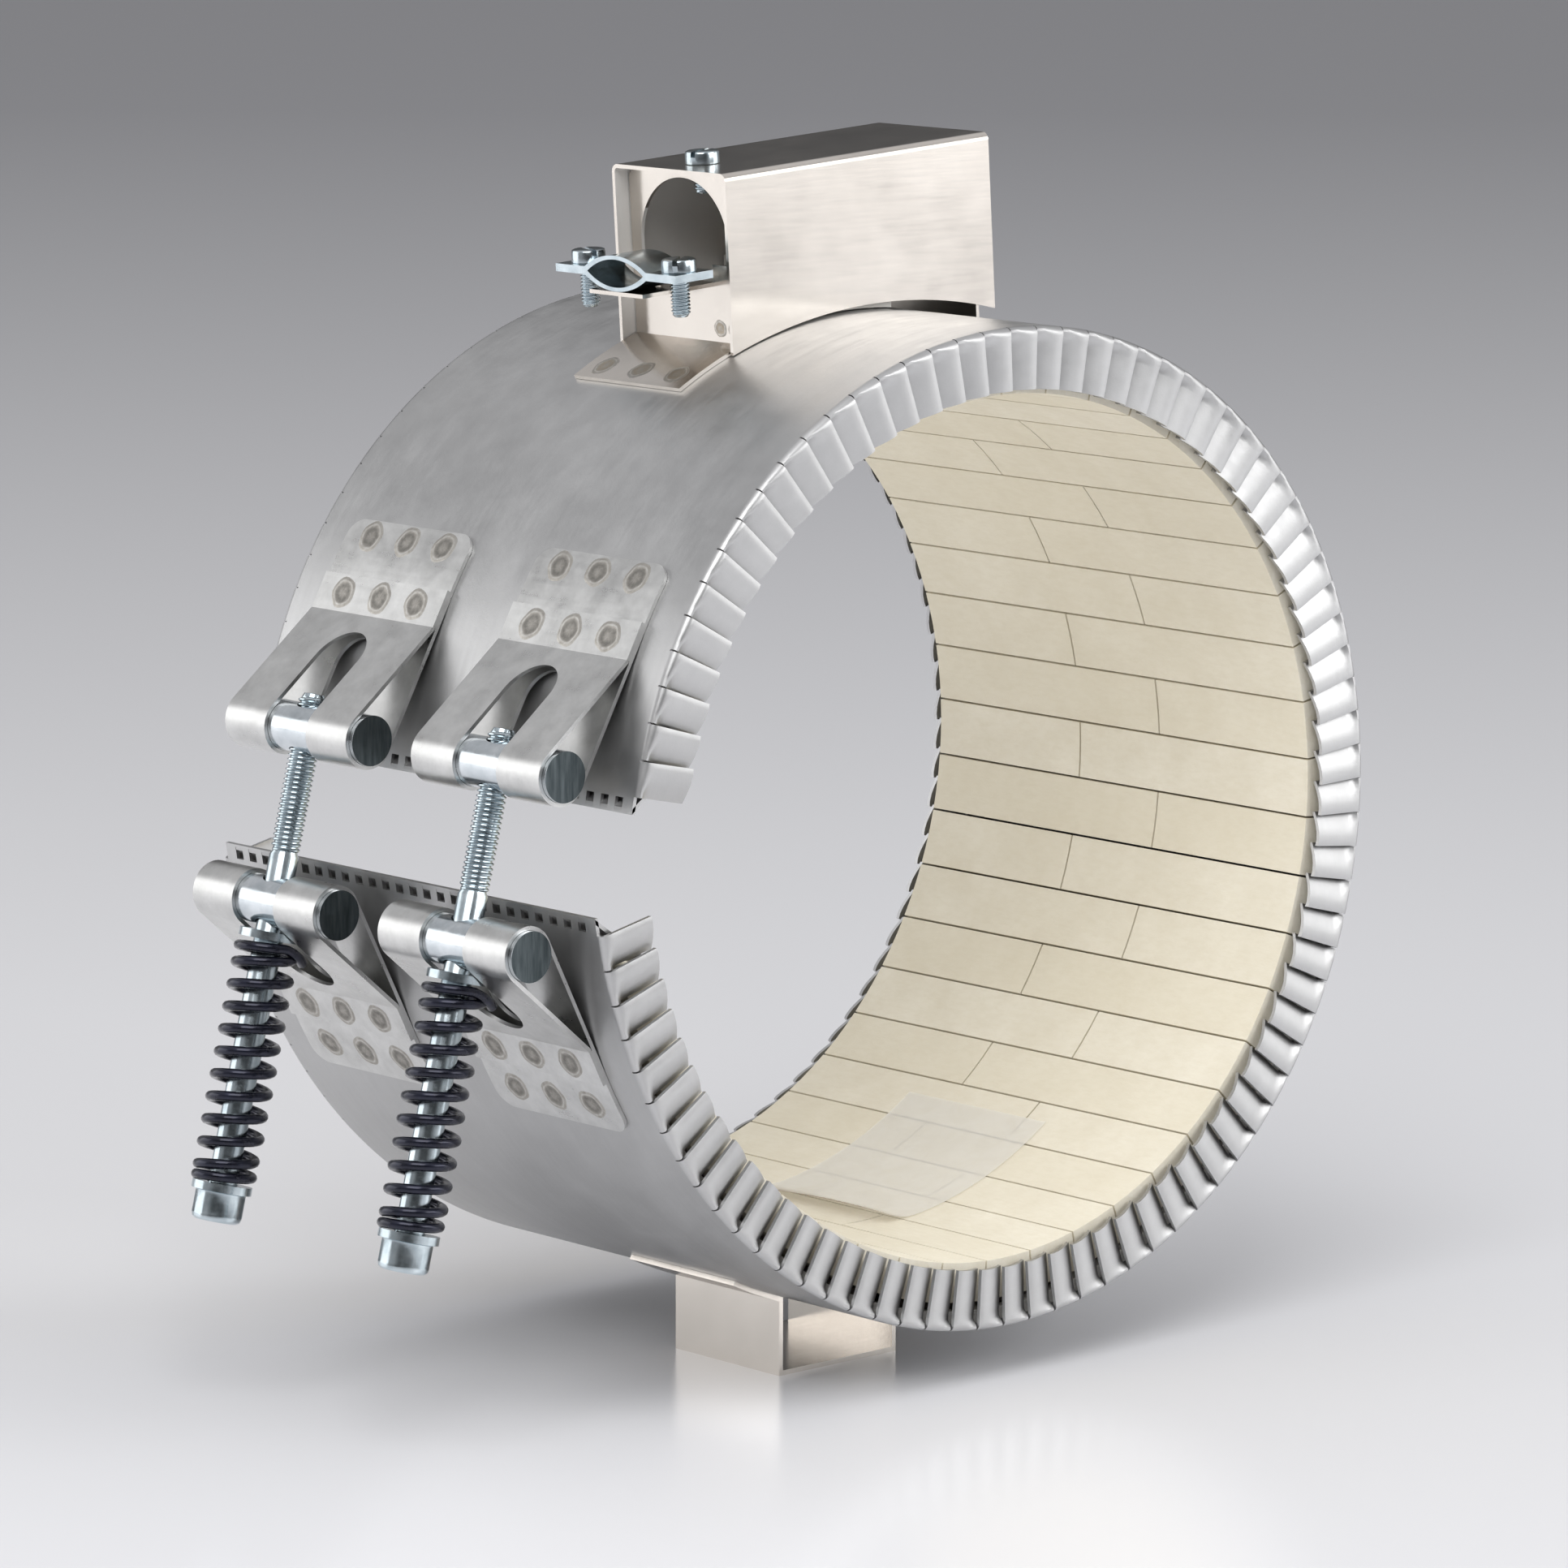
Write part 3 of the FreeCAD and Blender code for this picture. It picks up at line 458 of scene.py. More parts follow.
def on_band(s, r, y, t=0.0):
    """Point at length s along the shell, radius r and width y; t mm further along the tangent."""
    if s <= MAIN_LEN:
        cx, cz, extra, a = 0.0, 0.0, 0.0, math.radians(UPPER_A) - s / SHELL_R
    else:
        cx, cz = LOOSE_C
        extra, a = LOOSE_EXTRA, math.radians(LOOSE_A) - (s - MAIN_LEN) / (SHELL_R + LOOSE_EXTRA)
    rr = r + extra
    return Vector((cx + rr * math.cos(a) + t * math.sin(a), y,
                   cz + rr * math.sin(a) - t * math.cos(a))) * MM


def sheet_grid(outer, inner, us, vs, holes=lambda u, v: False):
    """Sheet of two skins over a grid of u and v lines, with open cells and closed edges."""
    verts = [f(u, v) for f in (outer, inner) for u in us for v in vs]
    nu, nv, half = len(us), len(vs), len(us) * len(vs)
    full = {(i, k) for i in range(nu - 1) for k in range(nv - 1)
            if not holes((us[i] + us[i + 1]) / 2, (vs[k] + vs[k + 1]) / 2)}
    faces = []
    for i, k in sorted(full):
        a, b, c, d = i * nv + k, (i + 1) * nv + k, (i + 1) * nv + k + 1, i * nv + k + 1
        faces += [[a, b, c, d], [d + half, c + half, b + half, a + half]]
        for (di, dk), (p, q) in (((0, -1), (b, a)), ((1, 0), (c, b)),
                                 ((0, 1), (d, c)), ((-1, 0), (a, d))):
            if (i + di, k + dk) not in full:
                faces.append([p, q, q + half, p + half])
    return verts, faces


TAB_W, TAB_STEP, TAB_PITCH, TAB_END_R = 6.95, 1.9, 7.3, 88.5
RIM_Y, WALL_HALF = 58.5, 56.6               # half widths over the rims and over the wall
BEND, BEND_STEPS = 1.6, 4                   # radius of the fold, and its facets
CREST = 0.82                                # share of a tab's width at which it stands proudest
TWIST_FROM_R, TWIST_OVER = 100.95, 2.7      # where the twist starts, and how far in it is full


def rim_tab(s, side):
    """One folded tab: rounded fold, face twisted so that its leading edge laps over the next."""
    lip = RIM_Y - WALL_HALF
    # each row's radius, its distance back from the rim, and its angle in the fold or what it is
    path = [(SHELL_R, lip, "lip")]
    path += [(SHELL_R - BEND, BEND, math.radians(90 / BEND_STEPS * i))
             for i in range(BEND_STEPS + 1)]
    path += [(r, 0.0, "face") for r in (98.6, 97.6, 96.0, 93.0, 90.5, TAB_END_R)]

    def skin(depth):
        def at(u, v):
            r, back, turn = path[int(u)]
            if turn == "face":
                back += depth
            elif turn == "lip":
                r -= depth
            else:
                r += (BEND - depth) * math.cos(turn)
                back -= (BEND - depth) * math.sin(turn)
            f = 0.0 if turn in ("lip", 0.0) else max(0.0, min(1.0, (TWIST_FROM_R - r) / TWIST_OVER))
            f = f * f * (3 - 2 * f)
            rise = math.sin(math.pi / 2 * v / CREST) if v < CREST else 1 - 3.2 * (v - CREST) ** 2
            y = side * (RIM_Y - back - TAB_STEP * (1 - rise) * f)
            t = (v - 0.5) * TAB_W
            return on_band(s, r - t * t / (2 * SHELL_R), y, t)
        return at

    return sheet_grid(skin(0.0), skin(SHEET), list(range(len(path))),
                      [0.0, 0.15, 0.35, 0.6, CREST, 0.92, 1.0])


WINDOW = ((-7.17, -11.1), (5.46, 15.5))     # X and Y corners of the opening for the leads
WALL_STEPS = 210
PERF_PITCH, PERF_W = 4.2, 2.2               # perforations along the width
PERF_NEAR, PERF_FAR = 0.45, 3.0             # and back from the end
FOLD_LEAN, FOLD_SHEET = 11.6 / 12.1, 1.1    # how the fold leans back from the end


def along_shell(x):
    """Length along the shell, from its upper end, to the spot on top that has this x."""
    return (math.radians(UPPER_A) - math.acos(x / SHELL_R)) * SHELL_R


def shell_band():
    """The band: tabs on both rims, the wall, and at each end the perforations and the fold."""
    count = int(BAND_LEN / TAB_PITCH)
    start = (BAND_LEN - count * TAB_PITCH) / 2
    parts = [rim_tab(start + (i + 0.5) * TAB_PITCH, side) for i in range(count) for side in (-1, 1)]
    lo, hi = WINDOW
    s0, s1 = along_shell(lo[0]), along_shell(hi[0])
    wall_len = BAND_LEN - 2 * PERF_FAR
    us = sorted([PERF_FAR + wall_len * i / WALL_STEPS for i in range(WALL_STEPS + 1)]
                + [s0, s1, MAIN_LEN])
    wall = lambda depth: lambda u, v: on_band(u, SHELL_R - depth, v)
    parts.append(sheet_grid(wall(0.0), wall(SHEET), us, [-WALL_HALF, lo[1], hi[1], WALL_HALF],
                            lambda u, v: s0 < u < s1 and lo[1] < v < hi[1]))
    rows = int(2 * WALL_HALF / PERF_PITCH)
    ys = [-WALL_HALF]
    for k in range(rows):
        y = (k - (rows - 1) / 2) * PERF_PITCH
        ys += [y - PERF_W / 2, y + PERF_W / 2]
    ys.append(WALL_HALF)
    hole = PERF_W / 2 / PERF_PITCH
    is_hole = lambda v: abs((v / PERF_PITCH + (rows - 1) / 2 + 0.5) % 1 - 0.5) < hole
    for s_end, into in ((0.0, 1), (BAND_LEN, -1)):
        end = lambda d: lambda u, v: on_band(s_end + into * u, SHELL_R - d, v)
        parts.append(sheet_grid(end(0.0), end(SHEET), [0.0, PERF_NEAR, PERF_FAR], ys,
                                lambda u, v: u > PERF_NEAR and is_hole(v)))
        fold = lambda d: lambda u, v: on_band(s_end, u - (0.05 if d else 0.0), v,
                                              into * ((SHELL_R - u) * FOLD_LEAN + d))
        parts.append(sheet_grid(fold(0.0), fold(FOLD_SHEET), [SHELL_R - 0.02, 96.0, 88.6],
                                [-WALL_HALF, 0.0, WALL_HALF]))
    verts, faces = join_parts(*parts)
    obj = finish_mesh("band_sheet", verts, faces, MATS["band_steel"], "heater", 32)
    bm = bmesh.new()
    bm.from_mesh(obj.data)
    bmesh.ops.recalc_face_normals(bm, faces=bm.faces)
    bm.to_mesh(obj.data)
    bm.free()
    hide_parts("shell_band")


# ---------------------------------------------------------------- edges of the CAD pieces
def bevel(obj, width, segments=2):
    """Small rounded edges on a CAD form, as a modifier."""
    b = obj.modifiers.new("edges", "BEVEL")
    b.width, b.segments = width, segments
    b.limit_method, b.angle_limit = "ANGLE", math.radians(30)


EDGES = {0.12: ("straps_upper", "straps_lower", "box_cover", "box_entry_wall", "box_far_wall"),
         0.15: ("seat_washers", "head_washer_front", "head_washer_rear", "foot_bracket"),
         0.22: ("tiles_long", "tiles_short", "tiles_half"),
         0.30: ("pins_upper", "pins_lower"),
         0.40: ("terminal_block",)}
for width, names in EDGES.items():
    for name in names:
        bevel(nodes[name], width * MM, 2 if width < 0.3 else 3)


# ---------------------------------------------------------------- mesh helpers
def finish_mesh(name, verts, faces, material, body, smooth, tags=None):
    """A new piece on a body, with smooth faces but for edges sharper than smooth degrees."""
    me = new_mesh(name, verts, faces)
    me.validate()
    for key, values in (tags or {}).items():
        a = me.attributes.new(key, "FLOAT", "POINT")
        a.data.foreach_set("value", values)
    me.materials.append(material)
    obj = add_object(name, me)
    for p in me.polygons:
        p.use_smooth = True
    if smooth < 180:
        me.set_sharp_from_angle(angle=math.radians(smooth))
    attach(obj, body)
    return obj


def basis(axis):
    """Three directions, the last one the axis, the first one as near to +X as it gets."""
    w = Vector(axis).normalized()
    toward = Vector((1, 0, 0))
    u = (toward - w * toward.dot(w)).normalized()
    return u, w.cross(u), w


def spoke(axes, angle):
    """The direction at an angle between the first two axes."""
    return axes[0] * math.cos(angle) + axes[1] * math.sin(angle)


def bridge(rings, ahead=True):
    """Faces between neighbouring rings of indices; a ring can be one point many times over."""
    faces = []
    for a, b in zip(rings, rings[1:]):
        for i in range(len(a)):
            k = (i + 1) % len(a)
            f = [a[i], b[i], b[k], a[k]] if ahead else [a[i], a[k], b[k], b[i]]
            f = [x for t, x in enumerate(f) if x not in f[:t]]
            if len(f) > 2:
                faces.append(f)
    return faces


def lathe(profile, origin, axes, n):
    """Verts and faces of a profile of (radius, height) turned about the third axis."""
    w = axes[2]
    verts, rings = [], []
    for r, h in profile:
        if r < 1e-7:
            rings.append([len(verts)] * n)
            verts.append(origin + w * h)
        else:
            rings.append([len(verts) + i for i in range(n)])
            verts += [origin + w * h + spoke(axes, 2 * math.pi * i / n) * r for i in range(n)]
    return verts, bridge(rings, ahead=False)


def join_parts(*parts):
    """One list of verts and one of faces from several."""
    verts, faces = [], []
    for v, f in parts:
        k = len(verts)
        verts += v
        faces += [[i + k for i in g] for g in f]
    return verts, faces


# share of the pitch, and whether that is at the crest
THREAD_PROFILE = ((0.0, 0), (0.30, 1), (0.55, 1), (0.85, 0), (1.0, 0))


def thread(origin, axes, z0, z1, crest, root, pitch, n):
    """Helical thread surface from z0 to z1, shrinking to the root at both ends; n steps a turn."""
    w = axes[2]
    steps = int((z1 - z0) / pitch * n)
    verts, faces = [], []
    for i in range(steps + 1):
        z = z0 + pitch * i / n
        fade = min(1.0, i / n, (steps - i) / n + 0.15)
        d = spoke(axes, 2 * math.pi * i / n)
        for k, up in THREAD_PROFILE:
            r = root + (crest - root) * up * fade
            verts.append(origin + w * min(z + (k - 0.5) * pitch, z1) + d * r)
    m = len(THREAD_PROFILE)
    for i in range(steps):
        for k in range(m - 1):
            p = i * m + k
            faces.append([p, p + m, p + m + 1, p + 1])
    return verts, faces


def tube(points, radius, n):
    """Round wire along points, kept from twisting, with closed ends."""
    verts = []
    normal = None
    for i, p in enumerate(points):
        t = (points[min(i + 1, len(points) - 1)] - points[max(i - 1, 0)]).normalized()
        if normal is None:
            normal = t.orthogonal().normalized()
        normal = (normal - t * normal.dot(t)).normalized()
        axes = (normal, t.cross(normal))
        verts += [p + spoke(axes, 2 * math.pi * k / n) * radius for k in range(n)]
    rings = [[i * n + k for k in range(n)] for i in range(len(points))]
    return verts, bridge(rings, ahead=False) + [rings[0][::-1], rings[-1]]


shell_band()


# ---------------------------------------------------------------- clamp screws and springs
M6_HEAD_R, M6_HEAD_H, M6_LENGTH = 5.0 * MM, 6.0 * MM, 100.0 * MM
M6_SHANK_R, M6_ROOT_R, M6_PITCH = 2.95 * MM, 2.44 * MM, 1.0 * MM
M6_THREAD_FROM = 68.0 * MM          # the clamp's travel brings the tapped pin down to here
SOCKET_FLATS, SOCKET_DEEP = 5.0 * MM, 3.2 * MM
KNURL_TEETH, KNURL_DEEP = 48, 0.13 * MM
# the head's outline: radius, height over its underside, and whether the knurl is there
M6_HEAD = [(M6_HEAD_R - 0.9 * MM, 0.0, 0), (M6_HEAD_R - 0.15 * MM, 0.0, 0),
           (M6_HEAD_R, -0.2 * MM, 0), (M6_HEAD_R, -0.7 * MM, 1), (M6_HEAD_R, -4.6 * MM, 1),
           (M6_HEAD_R, -4.9 * MM, 0), (M6_HEAD_R - 0.2 * MM, -5.6 * MM, 0),
           (M6_HEAD_R - 0.7 * MM, -M6_HEAD_H, 0)]
M6_BODY = [(M6_HEAD_R - 0.9 * MM, 0.0), (M6_SHANK_R + 0.35 * MM, 0.0), (M6_SHANK_R, 0.45 * MM),
           (M6_SHANK_R, M6_THREAD_FROM - 0.6 * MM), (2.5 * MM, M6_THREAD_FROM + 0.2 * MM),
           (2.42 * MM, 98.9 * MM), (2.0 * MM, 99.8 * MM), (0.0, M6_LENGTH)]


def clamp_frame(side):
    """Where a clamp screw's head has its underside, and the three directions of the screw."""
    j = joints[side + "_clamp_screw_turn"]
    return Vector(j["pos_m"]), basis(Vector(j["axis"]))


def clamp_screw(side):
    """M6 x 100 socket head cap screw: knurled head, hexagon socket, plain shank, thread."""
    head, axes = clamp_frame(side)
    w = axes[2]
    n = 2 * KNURL_TEETH
    verts, rings = [], []
    for r, h, knurl in M6_HEAD:
        rings.append([len(verts) + i for i in range(n)])
        for i in range(n):
            rr = r - (KNURL_DEEP if knurl and i % 2 else 0.0)
            verts.append(head + w * h + spoke(axes, 2 * math.pi * i / n) * rr)
    # face with a hexagon socket
    corner = SOCKET_FLATS / math.sqrt(3)
    seat, mouth, deep = [], [], []
    for i in range(n):
        a = 2 * math.pi * i / n
        off = (a + math.pi / 6) % (math.pi / 3) - math.pi / 6       # from the middle of a flat
        flat = corner * math.cos(math.pi / 6) / math.cos(off)
        d = spoke(axes, a)
        for ring, h, r in ((seat, -M6_HEAD_H, corner + 0.25 * MM),
                           (mouth, -M6_HEAD_H + 0.15 * MM, flat),
                           (deep, -M6_HEAD_H + SOCKET_DEEP, flat)):
            ring.append(len(verts))
            verts.append(head + w * h + d * r)
    faces = bridge(rings + [seat, mouth, deep])
    c = len(verts)
    verts.append(head + w * (-M6_HEAD_H + SOCKET_DEEP + 1.0 * MM))
    faces += [[deep[i], c, deep[(i + 1) % n]] for i in range(n)]
    body = lathe(M6_BODY, head, axes, 40)
    grip = thread(head, axes, M6_THREAD_FROM, 99.3 * MM, M6_SHANK_R, M6_ROOT_R, M6_PITCH, 28)
    verts, faces = join_parts((verts, faces), body, grip)
    obj = finish_mesh("m6_screw_" + side, verts, faces, MATS["zinc_steel"],
                      side + "_clamp_screw", 32)
    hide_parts("clamp_screw_" + side)


WIRE, COIL_R, COIL_TURNS = 1.0 * MM, 5.6 * MM, 11.5         # radii of the wire and of its coils
SPRING_FOOT, SPRING_LEN, SPRING_SHORT = 1.6, 49, 31         # over the head, at rest and clamped, mm
SPRING_SEED, TAIL_POINTS = {"front": 3, "rear": 7}, {"front": -38, "rear": -30}
TAIL_TURN, TAIL_OUT, TAIL_DOWN = 0.16, 2.0 * MM, 2.6 * MM   # the cut end stands off the top coil


def spring(side):
    """Compression spring of round wire with closed ends and a tail that stands off the top coil."""
    head, axes = clamp_frame(side)
    w = axes[2]
    foot, length = SPRING_FOOT * MM, SPRING_LEN * MM
    low, high = WIRE * 1.02, length - WIRE * 1.02
    closed = 2.05 * WIRE
    active = (high - low - 2 * closed) / (COIL_TURNS - 2)
    rng = random.Random(SPRING_SEED[side])
    wobble = [rng.uniform(-0.12, 0.12) * MM for _ in range(14)]
    end_a = math.radians(TAIL_POINTS[side])
    per, pts = 36, []
    for i in range(int(COIL_TURNS * per) + 1):
        t = i / per
        left = COIL_TURNS - t
        if t < 1:
            z = low + closed * t
        elif t < COIL_TURNS - 1:
            z = low + closed + active * (t - 1)
        else:
            z = high - closed * left
        r = COIL_R + wobble[int(t)] * math.sin(math.pi * (t % 1)) ** 2
        if left < TAIL_TURN:
            f = (TAIL_TURN - left) / TAIL_TURN
            r += TAIL_OUT * f ** 1.3
            z -= TAIL_DOWN * f ** 1.4
        pts.append(head + w * (foot + z) + spoke(axes, end_a + 2 * math.pi * (t - COIL_TURNS)) * r)
    verts, faces = tube(pts, WIRE, 12)
    obj = finish_mesh("wire_spring_" + side, verts, faces, MATS["spring_steel"], "heater",
                      50)
    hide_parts("spring_" + side)
    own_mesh(obj)


for side in ("front", "rear"):
    clamp_screw(side)
    spring(side)


# ---------------------------------------------------------------- M4 screws
M4_HEAD_R, M4_HEAD_H, M4_PITCH = 3.5 * MM, 2.6 * MM, 0.7 * MM
SLOT_W, SLOT_DEEP = 1.0 * MM, 1.1 * MM
BLOCK_FACES = [(0, 1, 3, 2), (4, 6, 7, 5), (0, 4, 5, 1), (2, 3, 7, 6), (0, 2, 6, 4), (1, 5, 7, 3)]


def slotted(head, seat, axes, turn):
    """The verts and faces of a screw head once a slot is cut, turned by so many degrees."""
    body = add_object("head_tmp", new_mesh("head_tmp", *head))
    along = spoke(axes, math.radians(turn))
    across = axes[1] * math.cos(math.radians(turn)) - axes[0] * math.sin(math.radians(turn))
    corners = [seat + along * x + across * y + axes[2] * z for x in (-5 * MM, 5 * MM)
               for y in (-SLOT_W / 2, SLOT_W / 2)
               for z in (M4_HEAD_H - SLOT_DEEP, M4_HEAD_H + 1 * MM)]
    cutter = add_object("slot_tmp", new_mesh("slot_tmp", corners, BLOCK_FACES))
    m = body.modifiers.new("slot", "BOOLEAN")
    m.operation, m.object, m.solver = "DIFFERENCE", cutter, "EXACT"
    bpy.context.view_layer.update()
    graph = bpy.context.evaluated_depsgraph_get()
    done = bpy.data.meshes.new_from_object(body.evaluated_get(graph))
    for o in (body, cutter):
        bpy.data.objects.remove(o)
    return [p.co.copy() for p in done.vertices], [list(p.vertices) for p in done.polygons]


def cheese_screw(name, replaced, seat, axis, body, shank_len, turn):
    """Slotted cheese head M4 screw; seat is the underside of the head."""
    axes = basis(axis)
    r, h = M4_HEAD_R, M4_HEAD_H
    head = lathe([(0.0, 0.0), (r - 0.1 * MM, 0.0), (r, 0.1 * MM), (r - 0.05 * MM, h - 0.45 * MM),
                  (r - 0.2 * MM, h - 0.15 * MM), (r - 0.55 * MM, h), (0.0, h)], seat, axes, 48)
    shank = lathe([(1.6 * MM, 0.0), (1.6 * MM, -shank_len + 0.4 * MM), (1.3 * MM, -shank_len),
                   (0.0, -shank_len)], seat, axes, 24)
    down = (axes[0], -axes[1], -axes[2])
    grip = thread(seat, down, 0.4 * MM, shank_len - 0.3 * MM, 1.95 * MM, 1.58 * MM, M4_PITCH, 20)
    verts, faces = join_parts(slotted(head, seat, axes, turn), shank, grip)
    obj = finish_mesh(name, verts, faces, MATS["zinc_steel"], body, 32)
    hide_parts(replaced)


lift = Vector(joints["saddle_lift"]["axis"]).normalized()
for side, turn in (("front", 35), ("rear", 70)):
    seat = Vector(joints[side + "_saddle_screw_turn"]["pos_m"])
    cheese_screw("m4_screw_" + side, "saddle_screw_" + side, seat, lift,
                 side + "_saddle_screw", 9 * MM, turn)

lo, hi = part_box("cover_screw")
COVER_SHANK = 6.0 * MM      # head and shank together fill the node's box
seat = (lo + hi) / 2 + lift * ((COVER_SHANK - M4_HEAD_H) / 2)
cheese_screw("m4_screw_cover", "cover_screw", seat, lift, "terminal_cover", COVER_SHANK, 15)


# ---------------------------------------------------------------- cable saddle
SADDLE_MID, SADDLE_HOLE = 2.2 * MM, 13.6 * MM       # middle of the strip, and from there to a screw
SADDLE_REACH, SADDLE_END = 4.4 * MM, 3.0 * MM       # of the strip past a screw, and what is cut


def saddle(name):
    """A copy of the clamp strip with its ends cut close to the screws."""
    me = nodes[name].data.copy()
    me.name = name + "_strip"
    obj = add_object(name + "_strip", me)
    for v in me.vertices:
        if abs(v.co.y - SADDLE_MID) > SADDLE_HOLE + SADDLE_END:
            v.co.y = SADDLE_MID + math.copysign(SADDLE_HOLE + SADDLE_REACH, v.co.y - SADDLE_MID)
    bevel(obj, 0.12 * MM)
    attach(obj, body_of(nodes[name])[0])
    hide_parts(name)


for name in ("cable_saddle_upper", "cable_saddle_lower"):
    saddle(name)


# ---------------------------------------------------------------- spot welds
WELD_STEPS = 24
# a weld's rings: share of its radius, height over the sheet in mm, and tone
WELD_RINGS = ((0.0, 0.05, 0.55), (0.25, 0.035, 0.65), (0.50, 0.012, 0.95), (0.66, 0.05, 0.75),
              (0.80, 0.11, 0.15), (0.92, 0.07, 0.45), (1.05, 0.006, 0.30))


def weld_patch(tree, spot, inward, along, radius, rng):
    """A pressed spot with a raised ring, laid on whatever surface lies inward of the spot."""
    axes = (along, inward.cross(along).normalized())
    verts, tones, rings = [], [], []
    phase = rng.uniform(0, 6.28)
    for share, height, tone in WELD_RINGS:
        ring = []
        for i in range(WELD_STEPS if share else 1):
            a = 2 * math.pi * i / WELD_STEPS
            uneven = 0.05 * math.sin(2 * a + phase) + 0.03 * math.sin(5 * a + 2 * phase)
            rr = radius * share * (1 + uneven)
            above = spot + spoke(axes, a) * rr - inward * 4 * MM
            hit = tree.ray_cast(above, inward, 12 * MM)[0]
            if hit is None:
                return [], [], []
            ring.append(len(verts))
            verts.append(hit - inward * height * MM)
            tones.append(max(0.0, min(1.0, tone + rng.uniform(-0.12, 0.12))))
        rings.append(ring if share else ring * WELD_STEPS)
    return verts, bridge(rings), tones


def welds(name, node, spots, radius, material):
    """Welds on one node; spots are (point, inward direction, direction along)."""
    me = nodes[node].data
    tree = BVHTree.FromPolygons([v.co for v in me.vertices],
                                [tuple(p.vertices) for p in me.polygons])
    rng = random.Random(len(name) * 7 + len(spots))
    parts, tones = [], []
    for p, inward, along in spots:
        verts, faces, tone = weld_patch(tree, p, inward.normalized(), along.normalized(),
                                        radius, rng)
        parts.append((verts, faces))
        tones += tone
    verts, faces = join_parts(*parts)
    if verts:
        finish_mesh(name, verts, faces, material, "heater", 60, {"tone": tones})


def band_spot(angle, y, centre, r):
    """A weld spot off the shell at an angle, looking at it."""
    a = math.radians(angle)
    out = Vector((math.cos(a), 0, math.sin(a)))
    spot = (Vector((centre[0], y, centre[1])) + out * r) * MM
    return spot, -out, Vector((-math.sin(a), 0, math.cos(a)))


STRAP_Y, WELD_ACROSS = (-29, 29), (-11.3, 0.0, 11.3)
for name, node, angles, centre, r in (
        ("welds_upper", "straps_upper", (146.0, 153.2), (0.0, 0.0), SHELL_R + 0.5),
        ("welds_lower", "straps_lower", (204.9, 210.1), LOOSE_C, SHELL_R + LOOSE_EXTRA + 0.5)):
    spots = [band_spot(a, y + d, centre, r) for y in STRAP_Y for a in angles for d in WELD_ACROSS]
    welds(name, node, spots, 3.2 * MM, WELD)

DOWN, INTO, ACROSS = Vector((0, 0, -1)), Vector((1, 0, 0)), Vector((0, 1, 0))
welds("welds_entry_flange", "box_entry_wall",
      [(Vector((-46.0, y, 96.0)) * MM, DOWN, INTO) for y in (-8.5, 2.2, 12.9)],
      2.6 * MM, WELD_BOX)
welds("welds_entry_wall", "box_entry_wall",
      [(Vector((-40.0, y, 99.0)) * MM, INTO, ACROSS) for y in (-11.6, -7.4)],
      1.7 * MM, WELD_BOX)


# ---------------------------------------------------------------- retaining tape
TAPE_FROM, TAPE_TO = math.radians(-56.0), math.radians(-88.0)
TAPE_R = 87.32              # just off the tiles
TAPE_LOOSE, TAPE_SHADOW_FROM = 0.80, 0.87     # share of its length from which it lifts, and from which a brown shadow is painted on it
TAPE_STEPS, TAPE_ROWS = 90, 60


def retaining_tape():
    """Crinkled tape on the tiles, whose lower end has come loose."""
    lo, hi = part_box("retaining_tape")
    rng = random.Random(11)
    waves = [(rng.uniform(40, 160), rng.uniform(-90, 90), rng.uniform(0, 6.28),
              rng.uniform(0.02, 0.07)) for _ in range(9)]
    verts, tape_shadow = [], []
    for i in range(TAPE_STEPS + 1):
        s = i / TAPE_STEPS
        a = TAPE_FROM + (TAPE_TO - TAPE_FROM) * s
        loose = max(0.0, (s - TAPE_LOOSE) / (1 - TAPE_LOOSE))
        # how much brown painted shadow the lifted end gets here
        shadow_share = max(0.0, (s - TAPE_SHADOW_FROM) / (1 - TAPE_SHADOW_FROM))
        for k in range(TAPE_ROWS + 1):
            q = k / TAPE_ROWS
            crinkle = sum(w * math.sin(fu * s + fv * q + ph) for fu, fv, ph, w in waves)
            crinkle *= 0.25 + 0.75 * s
            lifted = 1.9 * loose ** 2 * (0.55 + 0.45 * math.sin(3.0 * q + 0.4))
            curled = 0.9 * (1 - q) * loose ** 3
            r = (TAPE_R - abs(crinkle) * 0.6 - lifted - curled) * MM
            verts.append(Vector((r * math.cos(a), lo.y + (hi.y - lo.y) * q, r * math.sin(a))))
            tape_shadow.append(min(1.0, shadow_share * (0.4 + 0.6 * abs(math.sin(2.4 * q + 0.3)))))
    row = TAPE_ROWS + 1
    faces = [[p, p + 1, p + row + 1, p + row] for i in range(TAPE_STEPS)
             for p in range(i * row, i * row + TAPE_ROWS)]
    obj = finish_mesh("tape_sheet", verts, faces, MATS["tape"], "heater", 180,
                      {"tape_shadow": tape_shadow})
    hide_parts("retaining_tape")


retaining_tape()


# ---------------------------------------------------------------- floor, lights, world
FLOOR_HALF = 12.0       # metres
SKY = ((0.0, 0.30), (0.28, 0.36), (0.60, 0.56), (1.0, 0.86))        # height of the direction, grey
# the studio is unlit on the side from which the picture is taken, and low down opposite to it:
# direction, cosines from which and at which it is darkest, and the light that is left there
UNLIT = (((-0.664, -0.729, 0.164), 0.68, 0.92, 0.20), ((0.664, 0.729, 0.17), 0.86, 0.98, 0.25))


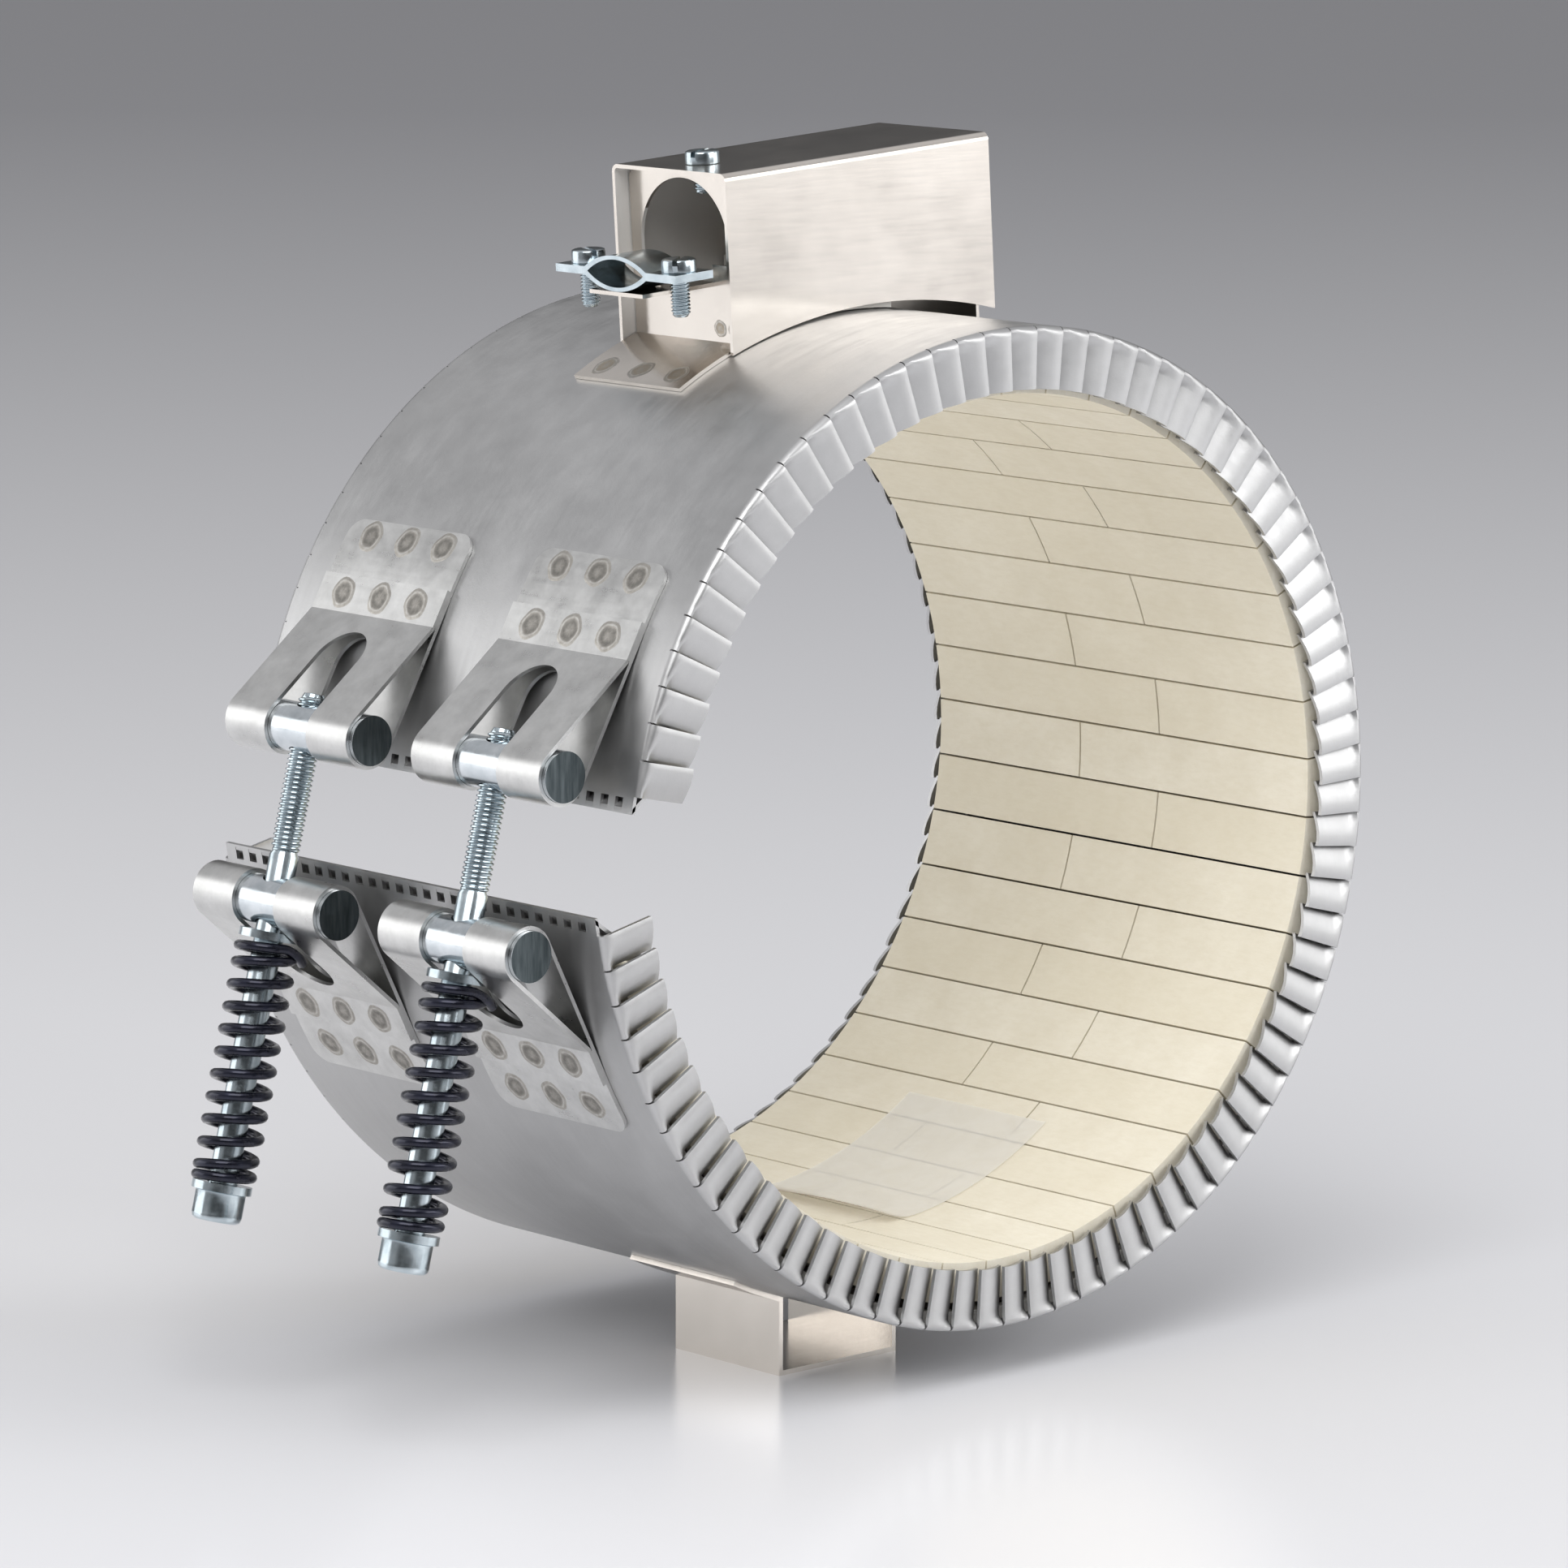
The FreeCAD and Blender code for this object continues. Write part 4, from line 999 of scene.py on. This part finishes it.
def floor():
    """A pale, faintly glossy floor whose colour darkens away from the camera: painted shade for the
    lamps' light falling off.
    """
    z, h = cad_bounds[0][2], FLOOR_HALF
    me = new_mesh("floor", [(-h, -h, z), (h, -h, z), (h, h, z), (-h, h, z)], [(0, 1, 2, 3)])
    obj = add_object("floor", me)
    n = Nodes("floor")
    place = n.xyz(n.coords)
    # painted shade: the floor colour darkens further away, for the lamps' light falling off
    painted_falloff = n.total(place["X"], 0.11, place["Y"], 0.12)
    n.set(Base_Color=n.ramp(painted_falloff, (0.0, lin(0.93, 0.93, 0.94)), (0.10, lin(0.92, 0.92, 0.93)),
                            (0.55, lin(0.76, 0.76, 0.775))),
          Roughness=0.22, Specular_IOR_Level=0.35)
    me.materials.append(n.mat)


def area(name, where, size, power):
    """A large soft panel that faces the object."""
    data = bpy.data.lights.new(name, "AREA")
    data.shape, data.size, data.size_y, data.energy = "RECTANGLE", size[0], size[1], power
    obj = add_object(name, data)
    obj.location = where
    obj.rotation_euler = (-Vector(where)).to_track_quat("-Z", "Y").to_euler()


def world():
    """Grey studio, paler overhead, with its unlit sides."""
    w = bpy.data.worlds.new("world")
    bpy.context.scene.world = w
    w.use_nodes = True
    tree = w.node_tree
    add, link = tree.nodes.new, tree.links.new
    back = tree.nodes["Background"]
    toward = add("ShaderNodeTexCoord").outputs["Generated"]

    def ramp(fac, stops, blue=1.0):
        n = add("ShaderNodeValToRGB")
        link(fac, n.inputs["Fac"])
        e = n.color_ramp.elements
        while len(e) < len(stops):
            e.new(0.5)
        for el, (pos, c) in zip(e, stops):
            el.position, el.color = pos, (c, c, c * blue, 1)
        return n.outputs["Color"]

    s = add("ShaderNodeSeparateXYZ")
    link(toward, s.inputs[0])
    shade = ramp(s.outputs["Z"], SKY, 1.02)
    for direction, lo, hi, least in UNLIT:
        d = add("ShaderNodeVectorMath")
        d.operation = "DOT_PRODUCT"
        link(toward, d.inputs[0])
        d.inputs[1].default_value = direction
        m = add("ShaderNodeMix")
        m.data_type, m.blend_type = "RGBA", "MULTIPLY"
        m.inputs["Factor"].default_value = 1.0
        link(shade, m.inputs[6])
        link(ramp(d.outputs["Value"], ((lo, 1.0), (hi, least))), m.inputs[7])
        shade = m.outputs[2]
    link(shade, back.inputs["Color"])
    back.inputs["Strength"].default_value = 1.0


floor()
world()
area("key", (-1.4, -0.9, 1.9), (1.8, 1.8), 37)
area("fill", (0.9, -1.9, 1.0), (1.6, 1.0), 17)
area("left", (-1.3, 1.6, 0.45), (2.0, 1.1), 11)
area("right", (1.9, -1.2, 0.45), (1.6, 1.0), 9)

bpy.context.scene.view_settings.view_transform = "Standard"
